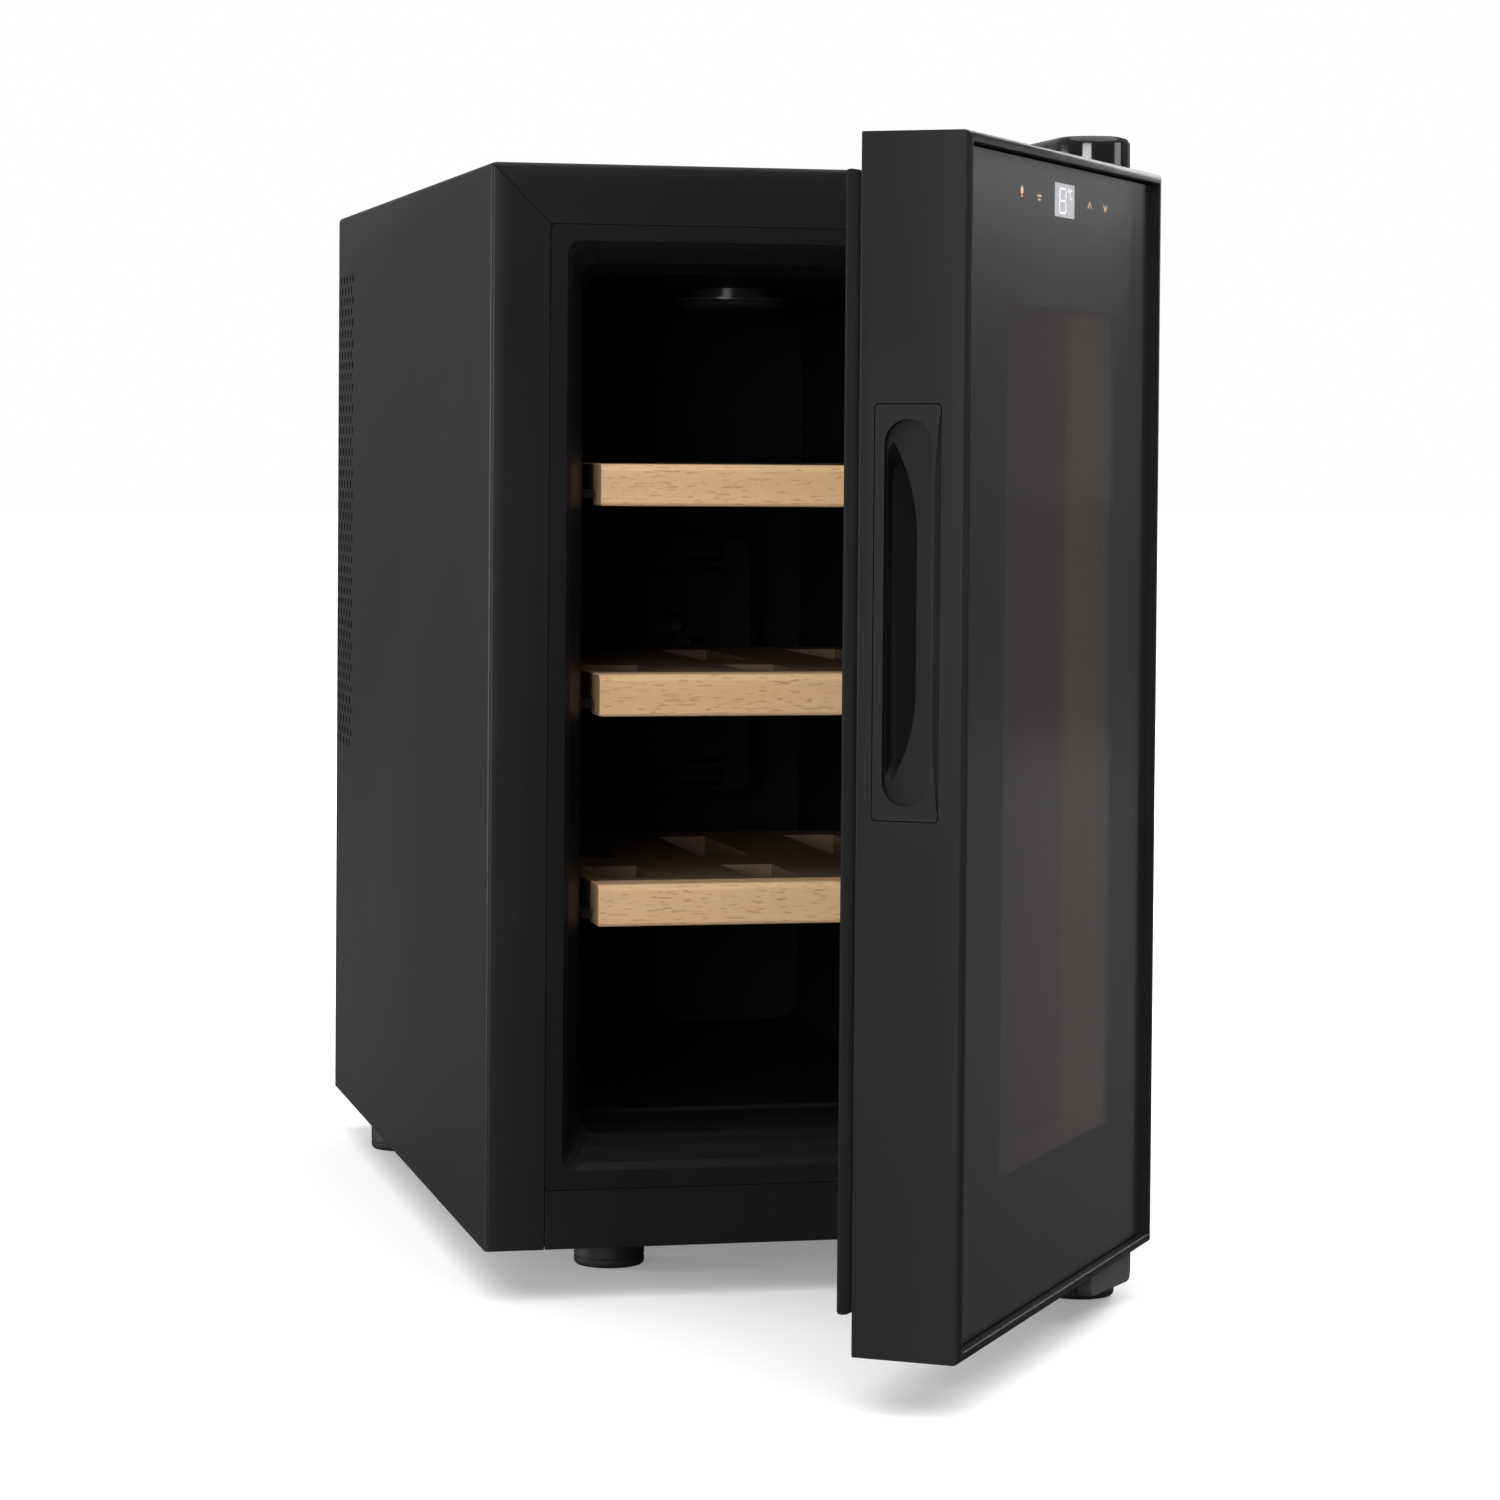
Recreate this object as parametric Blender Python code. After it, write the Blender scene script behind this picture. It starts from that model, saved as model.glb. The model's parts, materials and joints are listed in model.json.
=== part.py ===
"""A small free-standing wine cooler: a steel cabinet with a foamed liner, a thermoelectric cooling
unit, three sliding shelves and a double-glazed door.

Lengths are in millimetres and are turned into metres where a mesh is made.
x runs from left to right, d runs back from the front face of the cabinet, and z runs up from its
underside. The model's origin is the centre of the underside, so y = d - CABINET_DEPTH / 2."""

import math

import bmesh
import bpy
from mathutils import Vector

MM = 0.001
GAP = 0.3  # left between pieces that touch on the real object

# The cabinet
CABINET_WIDTH = 252.0
CABINET_DEPTH = 446.0
CABINET_HEIGHT = 427.0
HALF = CABINET_WIDTH / 2
SHEET = 1.0  # the steel
FLANGE = 23.5  # front flange of the wrap, seen from the front
REAR_FLANGE = 13.0
BASE_LIFT = 0.8  # the base sheet lies this far up inside the wrap
PAD = (42.0, 120.0, 330.0)  # its pressed pad: half width, front and back

# The liner: each section is (d, half width, floor, ceiling, corner radius)
LINER_WALL = 1.5
LINER_RIM = (102.2, 23.5, 403.2)  # half width, bottom and top of the rim
LINER_SECTIONS = [
    (0.0, 95.5, 30.7, 397.0, 5.0),
    (3.0, 93.0, 33.5, 394.5, 6.0),
    (12.0, 88.0, 38.5, 389.0, 8.0),
    (22.0, 85.0, 41.5, 385.5, 9.0),
    (74.0, 84.4, 41.7, 384.6, 9.0),
    (76.0, 84.3, 43.2, 384.5, 9.0),
    (330.0, 80.0, 44.5, 378.0, 9.0),
]
LINER_BACK = LINER_SECTIONS[-1][0]

# The cooling unit, on one axis through the rear wall
UNIT_X = 0.0
UNIT_Z = 215.0
FOAM_BACK = 370.5
BLOCK = 40.0
WALL_HOLE = 46.0
HOT_BASE = 371.2
HOT_FINS = 398.0
OUTER_FAN = 80.0
OUTER_FAN_FRONT = 399.0
OUTER_FAN_DEPTH = 20.0
COLD_FINS = 309.0
INNER_FAN = 60.0
INNER_FAN_FRONT = 297.0
INNER_FAN_DEPTH = 11.0
COVER_FRONT = 289.0

# The side vents
VENT_FIRST, VENT_LAST = 387.0, 438.0
VENT_BOTTOM, VENT_TOP = 171.0, 398.0
VENT_SLOTS = 14

# The hinge axis and the door, given as it is when shut
AXIS_X, AXIS_D = 111.7, -26.4
DOOR_FRONT, DOOR_BACK = -50.0, -10.4
DOOR_TOP = 426.0
DOOR_OPEN = 56.34  # degrees
DOOR_WALL = 12.0
DOOR_LIP = 4.0
GLASS_FRONT, GLASS_BACK = -46.7, -43.2
WINDOW = (-70.5, 70.5, 56.0, 368.6)
SPACER = 8.0
PIN_RADIUS = 3.0
BUSH_BORE = 3.1
BUSH_RADIUS = 5.0

# The handle recess in the free edge of the door
HANDLE_FRONT, HANDLE_BACK = -40.2, -16.4
HANDLE_BOTTOM, HANDLE_TOP = 187.8, 331.8
HANDLE_DEPTH = 22.0
SLOT_FRONT, SLOT_BACK = -37.3, -19.9
SLOT_BOTTOM, SLOT_TOP = 192.8, 326.7

# The shelves
SHELF_TOPS = (309.5, 225.5, 141.5)
BAR_HALF = 77.5
BAR_HEIGHT = 16.8
BAR_FRONT, BAR_BACK = 21.0, 38.0
RAIL_HEIGHT = 10.0
RAIL_WIDTH = 7.0
SHELF_BACK = 246.0
SLAT_WIDTH = 36.0
SLAT_GAP = 22.0

# The feet
FOOT_RADIUS = 14.5
FOOT_HEIGHT = 20.0
FEET = {
    "foot_front_left": (-62.0, 72.0),
    "foot_front_right": (62.0, 72.0),
    "foot_rear_left": (-103.0, 375.0),
    "foot_rear_right": (103.0, 375.0),
}
HINGE_FOOT = (109.0, -26.0)

# Hinges, rear wall, sensor and lamp
REAR_FRONT = CABINET_DEPTH + GAP
REAR_SHEET = 1.2
FAN_SLOTS = ((10.0, 15.0), (19.0, 24.0), (28.0, 33.0))
INLET = (68.0, 96.0, 24.0, 46.0)
HINGE_SCREWS = (18.0, 44.0)
LAMP_D = 130.0
LAMP_HOLE = 18.0
HINGE_PLATE = 3.0
PLATE_TIP = 12.0  # radius of a hinge plate round the axis
COVER = (95.0, 126.0, -41.0, 72.0)
COVER_TOP = 440.0
COVER_WALL = 1.6
SKIRT = [  # (x, z) round the small panel under the hinge end of the door
    (50.0, -GAP), (50.0, -6.6), (51.2, -8.2), (53.5, -8.9), (101.5, -11.9), (104.6, -11.2), (106.0, -9.0), (106.0, -GAP),
]
SKIRT_FRONT, SKIRT_BACK = -47.0, -41.5

MATERIALS = {
    "painted_steel": ((0.035, 0.035, 0.038), 0.38, 0.0),
    "black_plastic": ((0.012, 0.012, 0.013), 0.45, 0.0),
    "gloss_plastic": ((0.008, 0.008, 0.009), 0.15, 0.0),
    "liner_plastic": ((0.010, 0.010, 0.011), 0.40, 0.0),
    "door_plastic": ((0.030, 0.030, 0.033), 0.42, 0.0),
    "tinted_glass": ((0.040, 0.040, 0.045), 0.05, 0.0),
    "clear_glass": ((0.600, 0.620, 0.620), 0.05, 0.0),
    "foam": ((0.800, 0.740, 0.480), 0.90, 0.0),
    "aluminium": ((0.600, 0.600, 0.610), 0.35, 1.0),
    "plated_steel": ((0.500, 0.500, 0.500), 0.30, 1.0),
    "rubber": ((0.015, 0.015, 0.015), 0.80, 0.0),
    "ceramic": ((0.850, 0.850, 0.830), 0.60, 0.0),
    "circuit_board": ((0.020, 0.120, 0.040), 0.50, 0.0),
    "nylon": ((0.700, 0.700, 0.680), 0.50, 0.0),
    "beech": ((0.620, 0.410, 0.220), 0.50, 0.0),
}


def clear_scene():
    for obj in list(bpy.data.objects):
        bpy.data.objects.remove(obj, do_unlink=True)


def material(name):
    found = bpy.data.materials.get(name)
    if found:
        return found
    colour, roughness, metallic = MATERIALS[name]
    made = bpy.data.materials.new(name)
    made.use_nodes = True
    shader = made.node_tree.nodes["Principled BSDF"]
    shader.inputs["Base Color"].default_value = (*colour, 1.0)
    shader.inputs["Roughness"].default_value = roughness
    shader.inputs["Metallic"].default_value = metallic
    return made


def world(x, d, z):
    """A point in metres."""
    return Vector((x, d - CABINET_DEPTH / 2, z)) * MM


# Outlines, as lists of (u, v)


def rectangle(u0, u1, v0, v1):
    return [(u0, v0), (u1, v0), (u1, v1), (u0, v1)]


def rounded(u0, u1, v0, v1, radius, steps=3):
    """A rectangle with round corners, each of so many steps."""
    points = []
    corners = [(u1, v0, -90), (u1, v1, 0), (u0, v1, 90), (u0, v0, 180)]
    for u, v, start in corners:
        centre_u = u - radius if u == u1 else u + radius
        centre_v = v - radius if v == v1 else v + radius
        for step in range(steps + 1):
            angle = math.radians(start + 90 * step / steps)
            points.append((centre_u + radius * math.cos(angle), centre_v + radius * math.sin(angle)))
    return points


def circle(u, v, radius, segments=24):
    turn = 2 * math.pi / segments
    return [(u + radius * math.cos(turn * i), v + radius * math.sin(turn * i)) for i in range(segments)]


def sector(u, v, inner, outer, start, end, steps=6):
    """A piece of a flat ring between two angles in degrees."""
    angles = [math.radians(start + (end - start) * i / steps) for i in range(steps + 1)]
    far = [(u + outer * math.cos(a), v + outer * math.sin(a)) for a in angles]
    near = [(u + inner * math.cos(a), v + inner * math.sin(a)) for a in reversed(angles)]
    return far + near


def along(axis, u, v, h):
    """The point at h along an axis, with (u, v) in the plane across it."""
    if axis == "x":
        return world(h, u, v)
    if axis == "d":
        return world(u, h, v)
    return world(u, v, h)


# Solids, added to a bmesh


def bridge(bm, first, second):
    for i, corner in enumerate(first):
        after = (i + 1) % len(first)
        bm.faces.new((corner, first[after], second[after], second[i]))


def loft(bm, loops, axis="d", closed=False):
    """A skin over loops, each (outline, h). It ends in caps, or closed joins the last to the first."""
    rings = [[bm.verts.new(along(axis, u, v, h)) for u, v in outline] for outline, h in loops]
    for first, second in zip(rings, rings[1:]):
        bridge(bm, first, second)
    if closed:
        bridge(bm, rings[-1], rings[0])
    else:
        bm.faces.new(rings[0])
        bm.faces.new(rings[-1])


def prism(bm, outline, axis, low, high):
    loft(bm, [(outline, low), (outline, high)], axis)


def block(bm, x0, x1, d0, d1, z0, z1):
    prism(bm, rectangle(x0, x1, d0, d1), "z", z0, z1)


def turned(bm, profile, centre, axis="z", segments=24, closed=False):
    """A turned shape: the profile is (radius, h), and closed makes a ring with a bore."""
    loft(bm, [(circle(*centre, radius, segments), h) for radius, h in profile], axis, closed)


def frame_ring(bm, profile, x0, x1, z0, z1):
    """A mitred rectangular frame: the profile is (inset, d)."""
    def station(side_x, side_z):
        points = []
        for inset, d in profile:
            x = x0 + inset if side_x == 0 else x1 - inset
            z = z0 + inset if side_z == 0 else z1 - inset
            points.append(bm.verts.new(world(x, d, z)))
        return points

    stations = [station(*corner) for corner in ((0, 0), (1, 0), (1, 1), (0, 1))]
    for first, second in zip(stations, stations[1:] + stations[:1]):
        bridge(bm, first, second)


def folded_wrap(bm, profile):
    """The sheet that runs up the left side, over the top and down the right side."""
    ends = [(-1, False), (-1, True), (1, True), (1, False)]
    stations = []
    for side, at_top in ends:
        stations.append([
            bm.verts.new(world(side * (HALF - inset), d, CABINET_HEIGHT - inset if at_top else 0.0))
            for inset, d in profile
        ])
    for first, second in zip(stations, stations[1:]):
        bridge(bm, first, second)
    bm.faces.new(stations[0])
    bm.faces.new(stations[-1])


# Objects


def empty(name, location):
    made = bpy.data.objects.new(name, None)
    bpy.context.scene.collection.objects.link(made)
    made.location = location
    return made


def solid(name, bm, slot, parent=None, smooth=False):
    """The bmesh as a named object. A parent is an empty on a joint's axis, not yet turned."""
    bmesh.ops.recalc_face_normals(bm, faces=bm.faces)
    if parent:
        bmesh.ops.translate(bm, verts=bm.verts, vec=-parent.location)
    mesh = bpy.data.meshes.new(name)
    bm.to_mesh(mesh)
    bm.free()
    mesh.materials.append(material(slot))
    made = bpy.data.objects.new(name, mesh)
    bpy.context.scene.collection.objects.link(made)
    made.parent = parent
    if smooth:
        mesh.shade_smooth()
        mesh.set_sharp_from_angle(angle=math.radians(35))
    return made


def change(obj, bm, operation):
    """Cuts a helper's shapes from an object, or joins them to it."""
    number = len(obj.modifiers)
    helper = solid(f"{obj.name}_{operation.lower()}_{number}", bm, "black_plastic", obj.parent)
    helper.hide_render = True
    helper.display_type = "WIRE"
    modifier = obj.modifiers.new(helper.name, "BOOLEAN")
    modifier.operation = operation
    modifier.object = helper
    modifier.solver = "EXACT"


def cut(obj, bm):
    change(obj, bm, "DIFFERENCE")


def join(obj, bm):
    change(obj, bm, "UNION")


def liner_outline(section, grow):
    _, half, floor, ceiling, radius = section
    return rounded(-half - grow, half + grow, floor - grow, ceiling + grow, radius + grow)


# The cabinet


def make_wrap():
    profile = [
        (0.0, 0.0),
        (FLANGE, 0.0),
        (FLANGE, SHEET),
        (SHEET, SHEET),
        (SHEET, CABINET_DEPTH - SHEET),
        (REAR_FLANGE, CABINET_DEPTH - SHEET),
        (REAR_FLANGE, CABINET_DEPTH),
        (0.0, CABINET_DEPTH),
    ]
    bm = bmesh.new()
    folded_wrap(bm, profile)
    wrap = solid("outer_wrap", bm, "painted_steel")
    bm = bmesh.new()
    pitch = (VENT_TOP - VENT_BOTTOM) / VENT_SLOTS
    for side in (-1, 1):
        for i in range(VENT_SLOTS):
            low = VENT_BOTTOM + pitch * (i + 0.3)
            outer, inner = sorted((side * (HALF + 2), side * (HALF - 4)))
            block(bm, outer, inner, VENT_FIRST, VENT_LAST, low, low + 0.4 * pitch)
    for x, z in rear_screw_places():
        prism(bm, circle(x, z, 2.0, 8), "d", CABINET_DEPTH - 3, CABINET_DEPTH + 3)
    for d in HINGE_SCREWS:
        prism(bm, circle(AXIS_X, d, 2.3, 8), "z", CABINET_HEIGHT - 3, CABINET_HEIGHT + 3)
    cut(wrap, bm)


def make_base():
    reach = CABINET_DEPTH - SHEET - GAP
    side = HALF - SHEET - GAP
    front = FLANGE - GAP
    bm = bmesh.new()
    outline = [
        (-side, SHEET + 2 * GAP),
        (-HALF + FLANGE + GAP, SHEET + 2 * GAP),
        (-HALF + FLANGE + GAP, 0.0),
        (HALF - FLANGE - GAP, 0.0),
        (HALF - FLANGE - GAP, SHEET + 2 * GAP),
        (side, SHEET + 2 * GAP),
        (side, reach),
        (-side, reach),
    ]
    prism(bm, outline, "z", BASE_LIFT, BASE_LIFT + SHEET)
    base = solid("base_panel", bm, "painted_steel")
    bm = bmesh.new()
    block(bm, -HALF + FLANGE + GAP, HALF - FLANGE - GAP, 0.0, SHEET, 0.0, front)
    join(base, bm)
    pad_half, pad_front, pad_back = PAD
    bm = bmesh.new()
    block(bm, -pad_half, pad_half, pad_front, pad_back, 0.0, BASE_LIFT + 0.4)
    join(base, bm)
    bm = bmesh.new()
    for d in HINGE_SCREWS:
        prism(bm, circle(AXIS_X, d, 2.3, 8), "z", -3, SHEET + 3)
    cut(base, bm)


def make_liner():
    half, low, high = LINER_RIM
    loops = [(liner_outline(s, 0.0), s[0]) for s in reversed(LINER_SECTIONS)]
    loops.append((rounded(-half, half, low, high, 2.0), 0.0))
    loops.append((rounded(-half, half, low, high, 2.0), LINER_WALL))
    for section in LINER_SECTIONS:
        depth = max(section[0], LINER_WALL)
        if section is LINER_SECTIONS[-1]:
            depth += LINER_WALL
        loops.append((liner_outline(section, LINER_WALL), depth))
    bm = bmesh.new()
    loft(bm, loops)
    liner = solid("liner", bm, "liner_plastic", smooth=True)
    join(liner, shelf_runners())
    bm = bmesh.new()
    hole = WALL_HOLE / 2
    block(bm, -hole, hole, LINER_BACK - 5, LINER_BACK + 5, UNIT_Z - hole, UNIT_Z + hole)
    prism(bm, circle(0, LAMP_D, LAMP_HOLE, 24), "z", 370, 390)
    cut(liner, bm)


def shelf_runners():
    """Moulded ribs: each rail of a shelf slides on one. They widen behind the front bar."""
    bm = bmesh.new()
    for top in SHELF_TOPS:
        high = top - RAIL_HEIGHT - GAP
        low = high - 3.5
        for side in (-1, 1):
            outline = [(side * x, d) for x, d in [
                (86.0, 27.0), (79.5, 27.0), (79.5, 39.0), (71.5, 39.0), (71.5, 250.0), (82.0, 250.0),
            ]]
            prism(bm, outline, "z", low, high)
    return bm


def make_foam():
    outer = HALF - SHEET - 0.4
    bm = bmesh.new()
    block(bm, -outer, outer, 1.9, FOAM_BACK, BASE_LIFT + SHEET + 0.4, CABINET_HEIGHT - SHEET - 0.4)
    foam = solid("insulation_foam", bm, "foam")
    bm = bmesh.new()
    grow = LINER_WALL + 0.5
    mouth = liner_outline(LINER_SECTIONS[0], grow)
    loops = [(mouth, -5.0), (mouth, LINER_WALL + GAP)]
    for section in LINER_SECTIONS[1:-1]:
        loops.append((liner_outline(section, grow), section[0] + GAP))
    last = LINER_SECTIONS[-1]
    loops.append((liner_outline(last, grow), LINER_BACK + grow))
    loft(bm, loops)
    cut(foam, bm)
    bm = bmesh.new()
    hole = WALL_HOLE / 2
    block(bm, -hole, hole, LINER_BACK - 5, FOAM_BACK + 5, UNIT_Z - hole, UNIT_Z + hole)
    cut(foam, bm)
    bm = bmesh.new()
    block(bm, -LAMP_HOLE - 3, LAMP_HOLE + 3, LAMP_D - LAMP_HOLE - 3, LAMP_D + LAMP_HOLE + 3, 370, 396)
    cut(foam, bm)


# The rear


def rear_screw_places():
    x = HALF - REAR_FLANGE / 2
    return [(-x, 40.0), (x, 40.0), (-x, 400.0), (x, 400.0)]


def make_rear_panel():
    edge = 3.0
    bm = bmesh.new()
    outline = rounded(-HALF + edge, HALF - edge, edge, CABINET_HEIGHT - edge, 4.0)
    prism(bm, outline, "d", REAR_FRONT, REAR_FRONT + REAR_SHEET)
    panel = solid("rear_panel", bm, "painted_steel")
    bm = bmesh.new()
    low, high = REAR_FRONT - 3, REAR_FRONT + REAR_SHEET + 3
    for inner, outer in FAN_SLOTS:
        for quarter in range(4):
            start = 90 * quarter + 8
            prism(bm, sector(UNIT_X, UNIT_Z, inner, outer, start, start + 74), "d", low, high)
    for row in range(6):
        z = 330.0 + 11 * row
        for side in (-1, 1):
            x0, x1 = sorted((side * 8.0, side * 76.0))
            prism(bm, rounded(x0, x1, z, z + 4, 1.9, 2), "d", low, high)
    for x, z in rear_screw_places():
        prism(bm, circle(x, z, 2.0, 8), "d", low, high)
    x0, x1, z0, z1 = INLET
    prism(bm, rectangle(x0 - GAP, x1 + GAP, z0 - GAP, z1 + GAP), "d", low, high)
    cut(panel, bm)


def make_rear_screws():
    face = REAR_FRONT + REAR_SHEET
    for number, (x, z) in enumerate(rear_screw_places(), 1):
        bm = bmesh.new()
        profile = [(1.5, CABINET_DEPTH - 8), (1.5, face + GAP), (3.4, face + GAP), (3.4, face + 1.3), (2.2, face + 2.2)]
        turned(bm, profile, (x, z), "d", 12)
        solid(f"rear_screw_{number}", bm, "plated_steel", smooth=True)


def fins(first, last, count, thickness, base, tip, root):
    """A comb outline across the fins: a plate from root to base, with fins out to tip."""
    pitch = (last - first - thickness) / (count - 1)
    points = [(last, root), (first, root)]
    for i in range(count):
        left = first + pitch * i
        points += [(left, tip), (left + thickness, tip)]
        if i < count - 1:
            points += [(left + thickness, base), (left + pitch, base)]
    return points


def make_cooling_unit():
    bm = bmesh.new()
    outline = fins(-52.0, 52.0, 15, 1.4, HOT_BASE + 5, HOT_FINS, HOT_BASE)
    prism(bm, outline, "z", UNIT_Z - 60, UNIT_Z + 60)
    solid("hot_heatsink", bm, "aluminium")

    bm = bmesh.new()
    half = BLOCK / 2
    block(bm, -half, half, HOT_BASE - 4.2, HOT_BASE - GAP, UNIT_Z - half, UNIT_Z + half)
    solid("thermoelectric_module", bm, "ceramic")

    bm = bmesh.new()
    block(bm, -half, half, LINER_BACK, HOT_BASE - 4.2 - GAP, UNIT_Z - half, UNIT_Z + half)
    solid("cold_block", bm, "aluminium")

    bm = bmesh.new()
    base = LINER_BACK - 4.6
    outline = fins(-42.0, 42.0, 13, 1.2, base, COLD_FINS, LINER_BACK - GAP)
    prism(bm, outline, "z", UNIT_Z - 45, UNIT_Z + 45)
    solid("cold_heatsink", bm, "aluminium")


def make_fan(name, size, front, depth, hub, blades, behind):
    """An axial fan: a square frame whose struts hold the motor, and a rotor on an empty on its axis.
    The struts are behind the rotor, or else in front of it."""
    half = size / 2
    bore = half - 2.0
    back = front + depth
    bm = bmesh.new()
    prism(bm, rounded(-half, half, UNIT_Z - half, UNIT_Z + half, 4.0), "d", front, back)
    housing = solid(f"{name}_frame", bm, "black_plastic")
    bm = bmesh.new()
    prism(bm, circle(UNIT_X, UNIT_Z, bore, 36), "d", front - 3, back + 3)
    for side_x in (-1, 1):
        for side_z in (-1, 1):
            place = (UNIT_X + side_x * (half - 4.5), UNIT_Z + side_z * (half - 4.5))
            prism(bm, circle(*place, 2.2, 10), "d", front - 3, back + 3)
    cut(housing, bm)
    strut = 2.5
    low, high = (back - strut, back) if behind else (front, front + strut)
    bm = bmesh.new()
    prism(bm, circle(UNIT_X, UNIT_Z, hub, 24), "d", low, high)
    join(housing, bm)
    for turn in range(3):
        bm = bmesh.new()
        bar = rectangle(hub - 2, bore + 1.2, -1.5, 1.5)
        angle = math.radians(120 * turn + 40)
        outline = [
            (UNIT_X + u * math.cos(angle) - v * math.sin(angle), UNIT_Z + u * math.sin(angle) + v * math.cos(angle))
            for u, v in bar
        ]
        prism(bm, outline, "d", low, high)
        join(housing, bm)

    near, far = (front + 1.0, low - 0.6) if behind else (high + 0.6, back - 1.0)
    axis = empty(f"{name}_axis", world(UNIT_X, (near + far) / 2, UNIT_Z))
    bm = bmesh.new()
    prism(bm, circle(UNIT_X, UNIT_Z, hub, 24), "d", near, far)
    rotor = solid(f"{name}_rotor", bm, "black_plastic", axis, smooth=True)
    middle = (near + far) / 2
    reach = (far - near) / 2 - 1.0
    for turn in range(blades):
        start = 360 * turn / blades
        sweep = 250 / blades
        loops = []
        for share in (0.0, 0.5, 1.0):
            radius = hub - 1.5 + share * (bore - 1.5 - hub)
            a0 = math.radians(start - 4 * share)
            a1 = math.radians(start + sweep + 6 * share)
            loops.append([
                (radius, a0, middle - reach),
                (radius, a0, middle - reach + 1.6),
                (radius, a1, middle + reach),
                (radius, a1, middle + reach - 1.6),
            ])
        bm = bmesh.new()
        rings = [
            [bm.verts.new(world(UNIT_X + r * math.cos(a), d, UNIT_Z + r * math.sin(a))) for r, a, d in loop]
            for loop in loops
        ]
        for first, second in zip(rings, rings[1:]):
            bridge(bm, first, second)
        bm.faces.new(rings[0])
        bm.faces.new(rings[-1])
        bmesh.ops.triangulate(bm, faces=bm.faces)
        join(rotor, bm)


def make_fan_cover():
    """The grille over the cold fan: a shallow tray whose open side faces the rear wall."""
    half_x, half_z, wall = 50.0, 62.0, 1.8
    back = LINER_BACK - 0.5
    bm = bmesh.new()
    outer = rounded(-half_x, half_x, UNIT_Z - half_z, UNIT_Z + half_z, 8.0)
    crown = rounded(-half_x + 4, half_x - 4, UNIT_Z - half_z + 4, UNIT_Z + half_z - 4, 6.0)
    loft(bm, [(outer, back), (outer, COVER_FRONT + 4), (crown, COVER_FRONT)])
    cover = solid("inner_fan_cover", bm, "black_plastic")
    bm = bmesh.new()
    inner = rounded(-half_x + wall, half_x - wall, UNIT_Z - half_z + wall, UNIT_Z + half_z - wall, 6.2)
    prism(bm, inner, "d", COVER_FRONT + 4.5, back + 3)
    cut(cover, bm)
    bm = bmesh.new()
    for row in range(9):
        z = UNIT_Z + 6.0 * (row - 4)
        reach = math.sqrt(28.0**2 - (z - UNIT_Z) ** 2)
        prism(bm, rectangle(-reach, reach, z - 1.6, z + 1.6), "d", COVER_FRONT - 3, COVER_FRONT + 8)
    for side in (-1, 1):
        for row in range(3):
            z = UNIT_Z + side * (44.0 + 5.5 * row)
            prism(bm, rectangle(-34.0, 34.0, z - 1.5, z + 1.5), "d", COVER_FRONT - 3, COVER_FRONT + 8)
    cut(cover, bm)


def make_electrics():
    bm = bmesh.new()
    block(bm, -120.0, -60.0, 380.0, 381.6, 30.0, 150.0)
    board = solid("power_board", bm, "circuit_board")
    bm = bmesh.new()
    block(bm, -112.0, -82.0, 381.0, 410.0, 96.0, 130.0)
    block(bm, -112.0, -98.0, 381.0, 401.0, 40.0, 76.0)
    block(bm, -78.0, -66.0, 381.0, 396.0, 50.0, 84.0)
    prism(bm, circle(-86.0, 60.0, 6.0, 16), "d", 381.0, 405.0)
    prism(bm, circle(-72.0, 112.0, 5.0, 16), "d", 381.0, 400.0)
    join(board, bm)

    x0, x1, z0, z1 = INLET
    back = REAR_FRONT + REAR_SHEET + 1.0
    bm = bmesh.new()
    prism(bm, rounded(x0, x1, z0, z1, 3.0), "d", back - 24.0, back)
    inlet = solid("mains_inlet", bm, "black_plastic")
    bm = bmesh.new()
    prism(bm, rounded(x0 + 2.5, x1 - 2.5, z0 + 2.5, z1 - 2.5, 2.5), "d", back - 18.0, back + 3)
    cut(inlet, bm)
    bm = bmesh.new()
    for x, z in ((-7.0, -3.0), (0.0, 3.0), (7.0, -3.0)):
        middle_x, middle_z = (x0 + x1) / 2 + x, (z0 + z1) / 2 + z
        prism(bm, rectangle(middle_x - 1, middle_x + 1, middle_z - 2, middle_z + 2), "d", back - 20, back - 8)
    join(inlet, bm)


def make_lamp():
    rim = liner_ceiling(LAMP_D)
    bm = bmesh.new()
    profile = [(14.0, rim + 4.0), (14.0, rim - 0.9), (24.5, rim - 0.9), (24.5, rim - 3.0), (21.0, rim - 7.0),
               (13.0, rim - 9.2), (5.0, rim - 9.8)]
    turned(bm, profile, (0.0, LAMP_D), "z", 32)
    solid("lamp_lens", bm, "clear_glass", smooth=True)
    bm = bmesh.new()
    prism(bm, circle(0.0, LAMP_D, 15.0, 24), "z", rim + 5.0, rim + 6.4)
    solid("lamp_board", bm, "circuit_board")


def liner_ceiling(d):
    for near, far in zip(LINER_SECTIONS, LINER_SECTIONS[1:]):
        if near[0] <= d <= far[0]:
            return near[3] + (far[3] - near[3]) * (d - near[0]) / (far[0] - near[0])


def make_sensor():
    bm = bmesh.new()
    wall = -83.0
    prism(bm, rounded(180.0, 204.0, 340.0, 354.0, 4.0), "x", wall + 1.3, wall + 3.8)
    sensor = solid("temperature_sensor", bm, "black_plastic")
    bm = bmesh.new()
    for i in range(3):
        block(bm, wall + 2.6, wall + 9.0, 184.0 + 6.0 * i, 187.0 + 6.0 * i, 343.0, 351.0)
    cut(sensor, bm)


# The feet


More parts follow.
